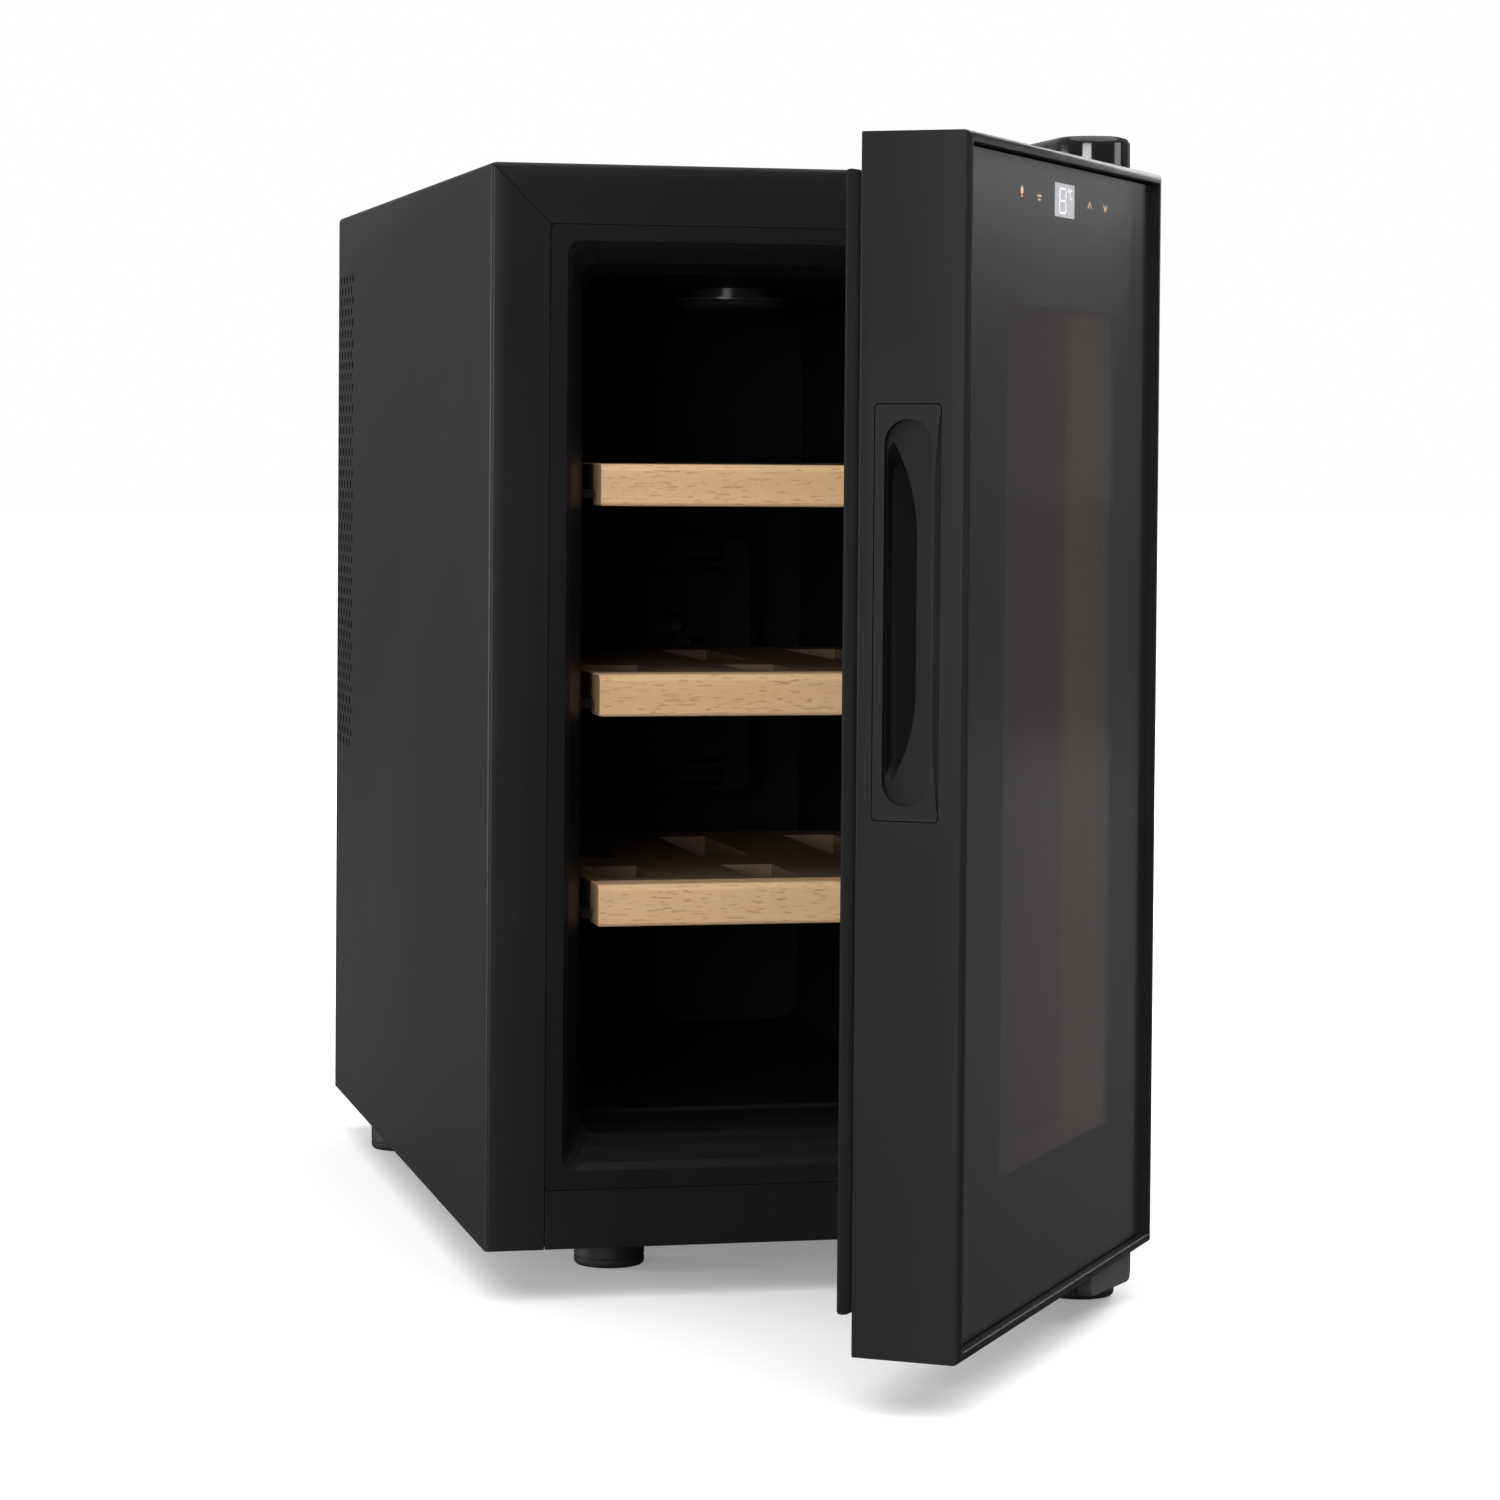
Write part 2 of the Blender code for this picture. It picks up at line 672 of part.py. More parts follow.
def foot(name, x, d, high):
    bm = bmesh.new()
    profile = [
        (FOOT_RADIUS - 3.5, -FOOT_HEIGHT),
        (FOOT_RADIUS - 1.2, -FOOT_HEIGHT + 0.9),
        (FOOT_RADIUS - 0.2, -FOOT_HEIGHT + 3.0),
        (FOOT_RADIUS, -FOOT_HEIGHT + 6.0),
        (FOOT_RADIUS, high),
    ]
    turned(bm, profile, (x, d), "z", 24)
    solid(name, bm, "rubber", smooth=True)


# The hinges


def hinge_plate_outline(inner_x):
    """A plate that lies on the cabinet and ends in a half circle round the axis."""
    right = AXIS_X + PLATE_TIP
    tip = [
        (AXIS_X + PLATE_TIP * math.cos(math.radians(a)), AXIS_D + PLATE_TIP * math.sin(math.radians(a)))
        for a in range(-150, 1, 15)
    ]
    shoulder = AXIS_D + PLATE_TIP * math.sin(math.radians(-150))
    return [(right, 60.0), (inner_x, 60.0), (inner_x, shoulder)] + tip


def make_hinges():
    top = CABINET_HEIGHT + GAP
    bottom = -GAP - HINGE_PLATE
    for name, low, inner_x in (("top_hinge_plate", top, 99.0), ("lower_hinge_plate", bottom, 82.0)):
        bm = bmesh.new()
        prism(bm, hinge_plate_outline(inner_x), "z", low, low + HINGE_PLATE)
        plate = solid(name, bm, "plated_steel")
        bm = bmesh.new()
        prism(bm, circle(AXIS_X, AXIS_D, PIN_RADIUS + 0.4, 24), "z", low - 3, low + HINGE_PLATE + 3)
        for d in HINGE_SCREWS:
            prism(bm, circle(AXIS_X, d, 2.3, 8), "z", low - 3, low + HINGE_PLATE + 3)
        cut(plate, bm)

    head = top + HINGE_PLATE + GAP
    bm = bmesh.new()
    turned(bm, [(PIN_RADIUS, DOOR_TOP - 9.0), (PIN_RADIUS, head), (5.0, head), (5.0, head + 2.0)], (AXIS_X, AXIS_D))
    solid("top_hinge_pin", bm, "plated_steel", smooth=True)
    base = bottom - GAP
    bm = bmesh.new()
    turned(bm, [(PIN_RADIUS, bottom), (PIN_RADIUS, 9.0)], (AXIS_X, AXIS_D))
    solid("lower_hinge_pin", bm, "plated_steel", smooth=True)

    for number, d in enumerate(HINGE_SCREWS, 1):
        bm = bmesh.new()
        profile = [(1.8, CABINET_HEIGHT - SHEET - 0.3), (1.8, head), (3.6, head), (3.6, head + 1.4), (2.2, head + 2.2)]
        turned(bm, profile, (AXIS_X, d), "z", 12)
        solid(f"top_hinge_screw_{number}", bm, "plated_steel", smooth=True)
        bm = bmesh.new()
        profile = [(2.2, base - 2.2), (3.6, base - 1.4), (3.6, base), (1.8, base), (1.8, BASE_LIFT + SHEET + 0.1)]
        turned(bm, profile, (AXIS_X, d), "z", 12)
        solid(f"lower_hinge_screw_{number}", bm, "plated_steel", smooth=True)
    make_hinge_cover(top)


def cover_outline(inset):
    """Half round in front, about the hinge axis, with small corners behind."""
    x0, x1, d0, d1 = COVER
    half = (x1 - x0) / 2
    corner = 5.0
    arcs = [
        (x0 + half, d0 + half, half, 180, 10),
        (x1 - corner, d1 - corner, corner, 0, 3),
        (x0 + corner, d1 - corner, corner, 90, 3),
    ]
    points = []
    for x, d, radius, start, steps in arcs:
        sweep = 180 if radius == half else 90
        for step in range(steps + 1):
            angle = math.radians(start + sweep * step / steps)
            points.append((x + (radius - inset) * math.cos(angle), d + (radius - inset) * math.sin(angle)))
    return points


def make_hinge_cover(low):
    """A hollow cap with its open side down."""
    edge = 3.0
    bm = bmesh.new()
    loops = []
    for inset, z in ((0.0, low), (0.0, COVER_TOP - edge), (0.3 * edge, COVER_TOP - 0.3 * edge), (edge, COVER_TOP)):
        loops.append((cover_outline(inset), z))
    loft(bm, loops, "z")
    cover = solid("top_hinge_cover", bm, "gloss_plastic", smooth=True)
    bm = bmesh.new()
    prism(bm, cover_outline(COVER_WALL), "z", low - edge, COVER_TOP - 2.5)
    cut(cover, bm)


# The door, made shut


def make_door(axis):
    make_door_frame(axis)

    bm = bmesh.new()
    edge = DOOR_LIP + GAP
    prism(bm, rectangle(-HALF + edge, HALF - edge, edge, DOOR_TOP - edge), "d", GLASS_FRONT, GLASS_BACK)
    solid("front_glass", bm, "tinted_glass", axis)

    x0, x1, z0, z1 = WINDOW
    bm = bmesh.new()
    front, back = GLASS_BACK + GAP, -24.6
    profile = [(0.0, front), (SPACER, front), (SPACER, back), (0.0, back)]
    frame_ring(bm, profile, x0 - SPACER, x1 + SPACER, z0 - SPACER, z1 + SPACER)
    solid("glazing_spacer", bm, "aluminium", axis)

    bm = bmesh.new()
    prism(bm, rectangle(x0 - 7.5, x1 + 7.5, z0 - 7.5, z1 + 7.5), "d", -24.3, -21.3)
    solid("inner_glass", bm, "clear_glass", axis)

    make_back_panel(axis)
    make_gasket(axis)
    make_handle(axis)
    make_display(axis)

    for name, low, high in (("upper_bush", DOOR_TOP - 11.0, DOOR_TOP - 0.5), ("lower_bush", 0.5, 11.0)):
        bm = bmesh.new()
        profile = [(BUSH_BORE, low), (BUSH_RADIUS, low), (BUSH_RADIUS, high), (BUSH_BORE, high)]
        turned(bm, profile, (AXIS_X, AXIS_D), closed=True)
        solid(name, bm, "nylon", axis, smooth=True)

    bm = bmesh.new()
    prism(bm, SKIRT, "d", SKIRT_FRONT, SKIRT_BACK)
    solid("hinge_skirt", bm, "door_plastic", axis)


def make_door_frame(axis):
    """A frame of one moulding: a lip holds the glass, and a deep wall carries the hinges."""
    round_edge = 0.8
    seat = GLASS_BACK + GAP
    profile = [
        (round_edge, DOOR_FRONT),
        (DOOR_LIP - 0.4, DOOR_FRONT),
        (DOOR_LIP, DOOR_FRONT + 0.4),
        (DOOR_LIP, seat),
        (DOOR_WALL, seat),
        (DOOR_WALL, DOOR_BACK),
        (round_edge, DOOR_BACK),
        (0.0, DOOR_BACK - round_edge),
        (0.0, DOOR_FRONT + round_edge),
    ]
    bm = bmesh.new()
    frame_ring(bm, profile, -HALF, HALF, 0.0, DOOR_TOP)
    frame = solid("door_frame", bm, "door_plastic", axis)

    boss = AXIS_X - 9.0
    bm = bmesh.new()
    for low, high in ((0.5, DOOR_WALL), (DOOR_TOP - DOOR_WALL, DOOR_TOP - 0.5)):
        block(bm, boss, HALF - DOOR_WALL + 2, seat + 1, DOOR_BACK - 5, low, high)
    join(frame, bm)

    bm = bmesh.new()
    for low, high in ((-3.0, DOOR_WALL + 3), (DOOR_TOP - DOOR_WALL - 3, DOOR_TOP + 3)):
        prism(bm, circle(AXIS_X, AXIS_D, BUSH_RADIUS + GAP, 24), "z", low, high)
    prism(
        bm,
        rounded(HANDLE_FRONT - GAP, HANDLE_BACK + GAP, HANDLE_BOTTOM - GAP, HANDLE_TOP + GAP, 3.0),
        "x", -HALF - 3, -HALF + DOOR_WALL + 3,
    )
    cut(frame, bm)


def make_back_panel(axis):
    x0, x1, z0, z1 = WINDOW
    edge = DOOR_WALL + GAP
    flange_front, flange_back = -13.2, DOOR_BACK - GAP
    bm = bmesh.new()
    loops = []
    for grow, d in ((2.5, flange_front), (2.5, -21.0), (0.0, -21.0), (0.0, flange_back)):
        loops.append((rectangle(x0 - grow, x1 + grow, z0 - grow, z1 + grow), d))
    outer = rectangle(-HALF + edge, HALF - edge, edge, DOOR_TOP - edge)
    loops.append((outer, flange_back))
    loops.append((outer, flange_front))
    loft(bm, loops, closed=True)
    solid("door_back_panel", bm, "liner_plastic", axis)


def make_gasket(axis):
    """A soft magnetic seal: a base strip and a round bellows that meets the cabinet."""
    base_front, base_back = DOOR_BACK + GAP, -6.8
    profile = [
        (0.0, base_front),
        (15.0, base_front),
        (15.0, base_back),
        (13.0, base_back + 0.2),
        (13.0, -2.0),
        (11.6, -0.6),
        (3.4, -0.6),
        (2.0, -2.0),
        (2.0, base_back + 0.2),
        (0.0, base_back),
    ]
    bm = bmesh.new()
    frame_ring(bm, profile, -HALF + 12.0, HALF - 12.0, 12.0, DOOR_TOP - 12.0)
    solid("gasket", bm, "rubber", axis)


def make_handle(axis):
    """A cup let into the free edge: a long finger slot that gets narrower and leans back as it gets deeper."""
    face = -HALF
    bm = bmesh.new()
    body = rounded(HANDLE_FRONT, HANDLE_BACK, HANDLE_BOTTOM, HANDLE_TOP, 2.7)
    prism(bm, body, "x", face, face + HANDLE_DEPTH)
    handle = solid("handle_insert", bm, "door_plastic", axis, smooth=True)
    loops = []
    for depth, front, end in ((-2.0, 0.0, 0.0), (0.0, 0.0, 0.0), (6.0, 2.5, 2.0), (12.0, 5.0, 6.0), (19.0, 5.6, 9.0)):
        outline = rounded(SLOT_FRONT + front, SLOT_BACK, SLOT_BOTTOM + end, SLOT_TOP - end, 5.8, 5)
        loops.append((outline, face + depth))
    bm = bmesh.new()
    loft(bm, loops, "x")
    cut(handle, bm)


def make_display(axis):
    """The touch board and its number display, pressed to the back of the glass."""
    front = GLASS_BACK + GAP
    bm = bmesh.new()
    block(bm, -62.0, 62.0, front + 2.5, front + 4.1, 396.0, 413.4)
    board = solid("display_module", bm, "circuit_board", axis)
    bm = bmesh.new()
    block(bm, -14.7, 11.6, front, front + 3.0, 402.0, 413.2)
    for x in (-54.4, -32.7, 33.2, 54.5):
        prism(bm, circle(x, 408.0, 4.5, 16), "d", front, front + 3.0)
    join(board, bm)


# The shelves


def make_shelf(number, top):
    axis = empty(f"shelf_{number}_axis", world(0.0, BAR_FRONT, top))
    chamfer = 2.0
    bottom = top - BAR_HEIGHT
    outline = [
        (BAR_FRONT + chamfer, top),
        (BAR_BACK, top),
        (BAR_BACK, bottom),
        (BAR_FRONT + 0.8, bottom),
        (BAR_FRONT, bottom + 0.8),
        (BAR_FRONT, top - chamfer),
    ]
    bm = bmesh.new()
    prism(bm, outline, "x", -BAR_HALF, BAR_HALF)
    solid(f"shelf_{number}_front_bar", bm, "beech", axis)

    front = BAR_BACK + GAP
    bm = bmesh.new()
    block(bm, -BAR_HALF, BAR_HALF, front, SHELF_BACK, top - RAIL_HEIGHT, top)
    frame = solid(f"shelf_{number}_frame", bm, "beech", axis)
    inner = BAR_HALF - RAIL_WIDTH
    cross = (95.0, 135.0)
    rear = SHELF_BACK - 22.0
    bays = [(-inner, -SLAT_GAP / 2 - SLAT_WIDTH), (-SLAT_GAP / 2, SLAT_GAP / 2), (SLAT_GAP / 2 + SLAT_WIDTH, inner)]
    bm = bmesh.new()
    for x0, x1 in bays:
        block(bm, x0, x1, front + 10.0, cross[0], top - 20, top + 5)
        block(bm, x0, x1, cross[1], rear, top - 20, top + 5)
    cut(frame, bm)


def main():
    clear_scene()
    make_wrap()
    make_base()
    make_liner()
    make_foam()
    make_rear_panel()
    make_rear_screws()
    make_cooling_unit()
    make_fan("outer_fan", OUTER_FAN, OUTER_FAN_FRONT, OUTER_FAN_DEPTH, 16.0, 7, True)
    make_fan("inner_fan", INNER_FAN, INNER_FAN_FRONT, INNER_FAN_DEPTH, 12.0, 7, False)
    make_fan_cover()
    make_electrics()
    make_lamp()
    make_sensor()
    for name, (x, d) in FEET.items():
        foot(name, x, d, BASE_LIFT - GAP)
    foot("foot_hinge", *HINGE_FOOT, -HINGE_PLATE - 2 * GAP)
    make_hinges()
    door_axis = empty("door_axis", world(AXIS_X, AXIS_D, 0.0))
    make_door(door_axis)
    door_axis.rotation_euler = (0.0, 0.0, math.radians(DOOR_OPEN))
    for number, top in enumerate(SHELF_TOPS, 1):
        make_shelf(number, top)


main()
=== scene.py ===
"""The looks of a countertop wine cooler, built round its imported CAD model.

Lengths in this file are millimetres, turned into metres where a mesh is made. As in the CAD, x runs
from left to right, d runs back from the cabinet's front face and z runs up from its underside. The
door's pieces are made shut and then turned open about the hinge."""

import json
import math

import bmesh
import bpy
from mathutils import Matrix, Vector

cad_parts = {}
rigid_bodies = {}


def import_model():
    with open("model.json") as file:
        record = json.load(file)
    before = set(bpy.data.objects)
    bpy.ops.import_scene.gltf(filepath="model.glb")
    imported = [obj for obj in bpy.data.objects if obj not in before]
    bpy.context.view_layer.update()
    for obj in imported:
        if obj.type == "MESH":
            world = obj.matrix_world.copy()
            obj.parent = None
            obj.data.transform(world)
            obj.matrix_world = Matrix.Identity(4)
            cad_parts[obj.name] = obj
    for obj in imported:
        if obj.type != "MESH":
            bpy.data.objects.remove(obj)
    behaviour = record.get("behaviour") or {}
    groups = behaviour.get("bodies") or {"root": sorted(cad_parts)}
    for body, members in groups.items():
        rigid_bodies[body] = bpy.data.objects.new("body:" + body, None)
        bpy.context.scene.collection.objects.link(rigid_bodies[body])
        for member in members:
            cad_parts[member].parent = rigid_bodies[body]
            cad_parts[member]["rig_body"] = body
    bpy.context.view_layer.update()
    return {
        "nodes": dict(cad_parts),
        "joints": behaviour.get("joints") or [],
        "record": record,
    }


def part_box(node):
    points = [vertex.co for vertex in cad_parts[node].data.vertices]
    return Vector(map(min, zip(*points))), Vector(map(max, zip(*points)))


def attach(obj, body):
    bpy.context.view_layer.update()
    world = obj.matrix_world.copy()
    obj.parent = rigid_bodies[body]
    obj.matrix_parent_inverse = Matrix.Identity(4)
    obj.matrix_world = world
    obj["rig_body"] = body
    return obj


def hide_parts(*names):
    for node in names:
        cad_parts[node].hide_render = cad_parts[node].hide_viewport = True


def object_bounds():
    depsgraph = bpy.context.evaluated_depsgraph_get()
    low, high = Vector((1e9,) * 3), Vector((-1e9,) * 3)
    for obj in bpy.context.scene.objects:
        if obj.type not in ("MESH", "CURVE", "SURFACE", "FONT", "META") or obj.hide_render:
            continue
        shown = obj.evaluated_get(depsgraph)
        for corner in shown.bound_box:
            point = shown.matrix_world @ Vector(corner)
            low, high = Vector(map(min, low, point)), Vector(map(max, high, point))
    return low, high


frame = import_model()

MM = 0.001
NODES = frame["nodes"]
JOINTS = {joint["name"]: joint for joint in frame["joints"]}


def node_box(name):
    """The lowest and highest (x, d, z) of a CAD node in millimetres."""
    low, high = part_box(name)
    return [(p.x / MM, p.y / MM + FRONT_TO_MIDDLE, p.z / MM) for p in (low, high)]


def node_centre(name):
    return [(a + b) / 2 for a, b in zip(*node_box(name))]


wrap_low, wrap_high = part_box("outer_wrap")
FRONT_TO_MIDDLE = -wrap_low.y / MM
DEPTH = (wrap_high.y - wrap_low.y) / MM
HALF = wrap_high.x / MM
HEIGHT = wrap_high.z / MM
SHEET = 1.0  # the cabinet's steel
FLANGE = 23.5  # width of its front flange
BASE_TOP = 1.8  # top of the base sheet
MERGE = 0.00002  # points of a CAD node this close, in metres, are joined before its bevel
DOUBLES = 0.00001  # and those of a new piece, in metres
SHARP = 35.0  # edges with a smaller angle, in degrees, are shaded smooth

AXIS = Vector(JOINTS["door_hinge"]["pos_m"])
OPEN = -math.radians(JOINTS["door_hinge"]["range_deg"][0])
TURN = Matrix.Translation(AXIS) @ Matrix.Rotation(OPEN, 4, "Z") @ Matrix.Translation(-AXIS)

DOOR_FRONT, DOOR_BACK, DOOR_TOP = -50.0, -10.4, 426.0
GLASS_FRONT, GLASS_BACK = -46.7, -43.2
GLASS = (-121.7, 121.7, 4.3, 421.7)  # x and z of the front pane
WINDOW = (-70.5, 70.5, 56.0, 368.6)  # and of its clear part
SLOT = {row["node"]: row["material_slot"] for row in frame["record"]["subparts"]}
DOOR_BODY = NODES["front_glass"]["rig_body"]


def world(x, d, z):
    return Vector((x, d - FRONT_TO_MIDDLE, z)) * MM


# ---------------------------------------------------------------- materials


class Nodes:
    """A small helper for one material's node tree."""

    def __init__(self, name):
        self.material = bpy.data.materials.new(name)
        self.material.use_nodes = True
        self.tree = self.material.node_tree
        self.shader = self.tree.nodes["Principled BSDF"]
        self.place = self.add("ShaderNodeTexCoord").outputs["Object"]

    def add(self, kind, inputs=None, **settings):
        node = self.tree.nodes.new(kind)
        for key, value in settings.items():
            setattr(node, key, value)
        for key, value in (inputs or {}).items():
            if isinstance(value, bpy.types.NodeSocket):
                self.tree.links.new(value, node.inputs[key])
            else:
                node.inputs[key].default_value = value
        return node

    def stretch(self, x, y, z):
        mapping = self.add("ShaderNodeMapping", {"Vector": self.place, "Scale": (x, y, z)})
        return mapping.outputs["Vector"]

    def noise(self, scale, detail=2.0, vector=None):
        inputs = {"Vector": vector or self.place, "Scale": scale, "Detail": detail}
        return self.add("ShaderNodeTexNoise", inputs).outputs["Fac"]

    def ramp(self, value, low, high, start=0.0, end=1.0):
        inputs = {"Value": value, "From Min": low, "From Max": high, "To Min": start, "To Max": end}
        return self.add("ShaderNodeMapRange", inputs, clamp=True).outputs["Result"]

    def blend(self, amount, first, second):
        """The first colour where the amount is 0, and the second where it is 1."""
        node = self.add("ShaderNodeMix", data_type="RGBA")
        sockets = node.inputs[0], node.inputs[6], node.inputs[7]
        for socket, value in zip(sockets, (amount, first, second)):
            if isinstance(value, bpy.types.NodeSocket):
                self.tree.links.new(value, socket)
            else:
                socket.default_value = value if isinstance(value, float) else (*value[:3], 1.0)
        return node.outputs[2]

    def bump(self, height, distance):
        node = self.add("ShaderNodeBump", {"Height": height, "Distance": distance})
        self.feed("Normal", node.outputs["Normal"])

    def feed(self, socket, value):
        self.tree.links.new(value, self.shader.inputs[socket])

    def set(self, **values):
        for key, value in values.items():
            self.shader.inputs[key.replace("_", " ")].default_value = value


def scaled(colour, factor):
    return tuple(channel * factor for channel in colour)


def moulded(name, colour, roughness, grain=1500.0, depth=0.00004, spread=0.15, **extra):
    """Moulded plastic, paint or rubber: a fine grain, and slow changes of tone and gloss."""
    made = Nodes(name)
    slow = made.noise(9.0, 3.0)
    fine = made.noise(grain, 2.0)
    tone = made.blend(made.ramp(slow, 0.3, 0.7), scaled(colour, 1 - spread), scaled(colour, 1 + spread))
    tone = made.blend(made.ramp(fine, 0.35, 0.7, 0.0, 0.5), tone, scaled(colour, 1 + 2 * spread))
    made.feed("Base Color", tone)
    made.feed("Roughness", made.ramp(slow, 0.25, 0.75, roughness * 0.92, roughness * 1.08))
    made.bump(fine, depth)
    made.set(**extra)
    return made.material


def metal(name, colour, roughness, brushed=(1.0, 1.0, 1.0)):
    """Bare metal with fine lines, which run along the axis with the smallest number in brushed."""
    made = Nodes(name)
    lines = made.noise(900.0, 3.0, made.stretch(*brushed))
    made.feed("Base Color", made.blend(made.ramp(lines, 0.3, 0.7), scaled(colour, 0.86), colour))
    made.feed("Roughness", made.ramp(lines, 0.3, 0.7, roughness * 0.8, roughness * 1.25))
    made.bump(lines, 0.00002)
    made.set(Metallic=1.0)
    return made.material


BEECH_TONES = (0.700, 0.462, 0.262), (0.630, 0.392, 0.206), (0.345, 0.178, 0.082)


def beech(name, along, depth=1.0):
    """Steamed beech: pale pinkish brown with short dark ray flecks along the grain."""
    # A depth below 1 darkens every tone of the wood: painted shade.
    pale, warm, fleck = [scaled(tone, depth) for tone in BEECH_TONES]
    made = Nodes(name)
    bands, ticks, fibres = [
        made.stretch(*[squeeze if axis == along else 1.0 for axis in "xyz"])
        for squeeze in (0.05, 0.16, 0.02)
    ]
    band = made.noise(75.0, 3.0, bands)
    dash = made.noise(1150.0, 1.0, ticks)
    thread = made.noise(2600.0, 2.0, fibres)
    tone = made.blend(made.ramp(band, 0.32, 0.68), pale, warm)
    tone = made.blend(made.ramp(thread, 0.35, 0.75, 0.0, 0.30), tone, scaled(warm, 0.82))
    tone = made.blend(made.ramp(dash, 0.58, 0.70, 0.0, 0.55), tone, fleck)
    made.feed("Base Color", tone)
    made.feed("Roughness", made.ramp(dash, 0.5, 0.7, 0.46, 0.60))
    made.bump(thread, 0.00006)
    made.set(Specular_IOR_Level=0.35)
    return made.material


MATERIAL = {
    "painted_steel": moulded(
        "powder_coated_steel", (0.0063, 0.0063, 0.0067), 0.40, 2200.0, 0.00003, Specular_IOR_Level=0.19
    ),
    "black_plastic": moulded("black_moulding", (0.0085, 0.0085, 0.0090), 0.45, Specular_IOR_Level=0.3),
    "gloss_plastic": moulded("gloss_black", (0.0040, 0.0040, 0.0045), 0.09, 300.0, 0.00001),
    "liner_plastic": moulded(
        "liner_black", (0.0085, 0.0085, 0.0096), 0.42, 900.0, 0.00002, Specular_IOR_Level=0.06
    ),
    "door_plastic": moulded(
        "door_black", (0.0106, 0.0106, 0.0114), 0.46, 1800.0, 0.00003, Specular_IOR_Level=0.10
    ),
    "foam": moulded("polyurethane_foam", (0.720, 0.610, 0.330), 0.85, 700.0, 0.0003),
    "aluminium": metal("extruded_aluminium", (0.62, 0.62, 0.63), 0.34, (1.0, 1.0, 0.05)),
    "plated_steel": metal("zinc_plated_steel", (0.52, 0.52, 0.51), 0.30),
    "rubber": moulded(
        "soft_rubber", (0.0045, 0.0045, 0.0048), 0.62, 1300.0, 0.00005, Specular_IOR_Level=0.12
    ),
    "ceramic": moulded("ceramic_plate", (0.78, 0.78, 0.75), 0.55),
    "circuit_board": moulded("solder_mask", (0.010, 0.085, 0.028), 0.42, 400.0),
    "nylon": moulded("white_nylon", (0.62, 0.62, 0.58), 0.48),
    "beech": beech("beech_lengthways", "x"),
}
# The shelf frames' beech is darkened to a fifth of the bars' tone: painted shade, for the shade deep in the
# cabinet.
BEECH_FRONT_TO_BACK_PAINTED_SHADE = beech("beech_front_to_back_painted_shade", "y", 0.2)
BLACK_ANODISED = moulded(
    "black_anodised", (0.006, 0.006, 0.0065), 0.4, 1200.0, Specular_IOR_Level=0.25
)


def printed_glass():
    """Glass with a black print on its back: a deep, faintly speckled black under a smooth face."""
    made = Nodes("printed_glass")
    speck = made.noise(2600.0, 2.0)
    cloud = made.noise(6.0, 2.0)
    dark, pale = (0.0105, 0.0106, 0.0112), (0.0200, 0.0202, 0.0210)
    tone = made.blend(made.ramp(speck, 0.3, 0.72), dark, pale)
    tone = made.blend(made.ramp(cloud, 0.3, 0.7, 0.0, 0.35), tone, (0.0172, 0.0174, 0.0182))
    made.feed("Base Color", tone)
    made.feed("Roughness", made.ramp(cloud, 0.3, 0.7, 0.16, 0.20))
    made.set(IOR=1.5, Specular_IOR_Level=0.16)
    return made.material


def smoked_glass():
    """The clear part of the front pane, tinted a warm grey."""
    made = Nodes("smoked_glass")
    cloud = made.noise(14.0, 2.0)
    tints = (0.150, 0.112, 0.094), (0.176, 0.136, 0.116)
    made.feed("Base Color", made.blend(made.ramp(cloud, 0.3, 0.7), *tints))
    made.feed("Roughness", made.ramp(cloud, 0.3, 0.7, 0.05, 0.08))
    made.set(IOR=1.45, Transmission_Weight=0.93, Specular_IOR_Level=0.07)
    return made.material


def clear_glass():
    made = Nodes("clear_glass")
    haze = made.noise(30.0)
    tints = (0.86, 0.88, 0.88), (0.92, 0.93, 0.93)
    made.feed("Base Color", made.blend(made.ramp(haze, 0.3, 0.7), *tints))
    made.feed("Roughness", made.ramp(haze, 0.3, 0.7, 0.01, 0.03))
    made.set(IOR=1.45, Transmission_Weight=1.0)
    return made.material


def glowing(name, colour, strength):
    """A lit part of the display, not quite even."""
    made = Nodes(name)
    patch = made.noise(420.0, 2.0)
    tone = made.blend(made.ramp(patch, 0.3, 0.7), scaled(colour, 0.9), colour)
    made.feed("Base Color", tone)
    made.feed("Emission Color", tone)
    made.set(Emission_Strength=strength, Roughness=0.4)
    return made.material


MATERIAL["tinted_glass"] = printed_glass()
# Black moulding lightened to a mid grey: painted light, for the light that falls on the hinge skirt's face.
PAINTED_LIGHT_PLASTIC = moulded("painted_light_moulding", (0.052, 0.054, 0.054), 0.45, Specular_IOR_Level=0.3)
FOOT_RUBBER = moulded(
    "foot_rubber", (0.0135, 0.0135, 0.0137), 0.55, 1300.0, 0.00005, Specular_IOR_Level=0.3
)
SPACER_ALUMINIUM = metal("mill_aluminium", (0.66, 0.64, 0.61), 0.42, (1.0, 1.0, 0.04))
LAMP_LENS = moulded(
    "smoked_lens", (0.018, 0.018, 0.020), 0.26, 500.0, 0.00001, Specular_IOR_Level=0.2
)
MATERIAL["clear_glass"] = clear_glass()
SMOKED_GLASS = smoked_glass()
DISPLAY_GREY = glowing("display_grey", (0.30, 0.29, 0.32), 0.85)
DISPLAY_WHITE = glowing("display_white", (0.86, 0.86, 0.90), 0.9)
KEY_GOLD = glowing("key_gold", (0.80, 0.50, 0.24), 0.42)
KEY_DIM = glowing("key_dim", (0.80, 0.50, 0.24), 0.07)


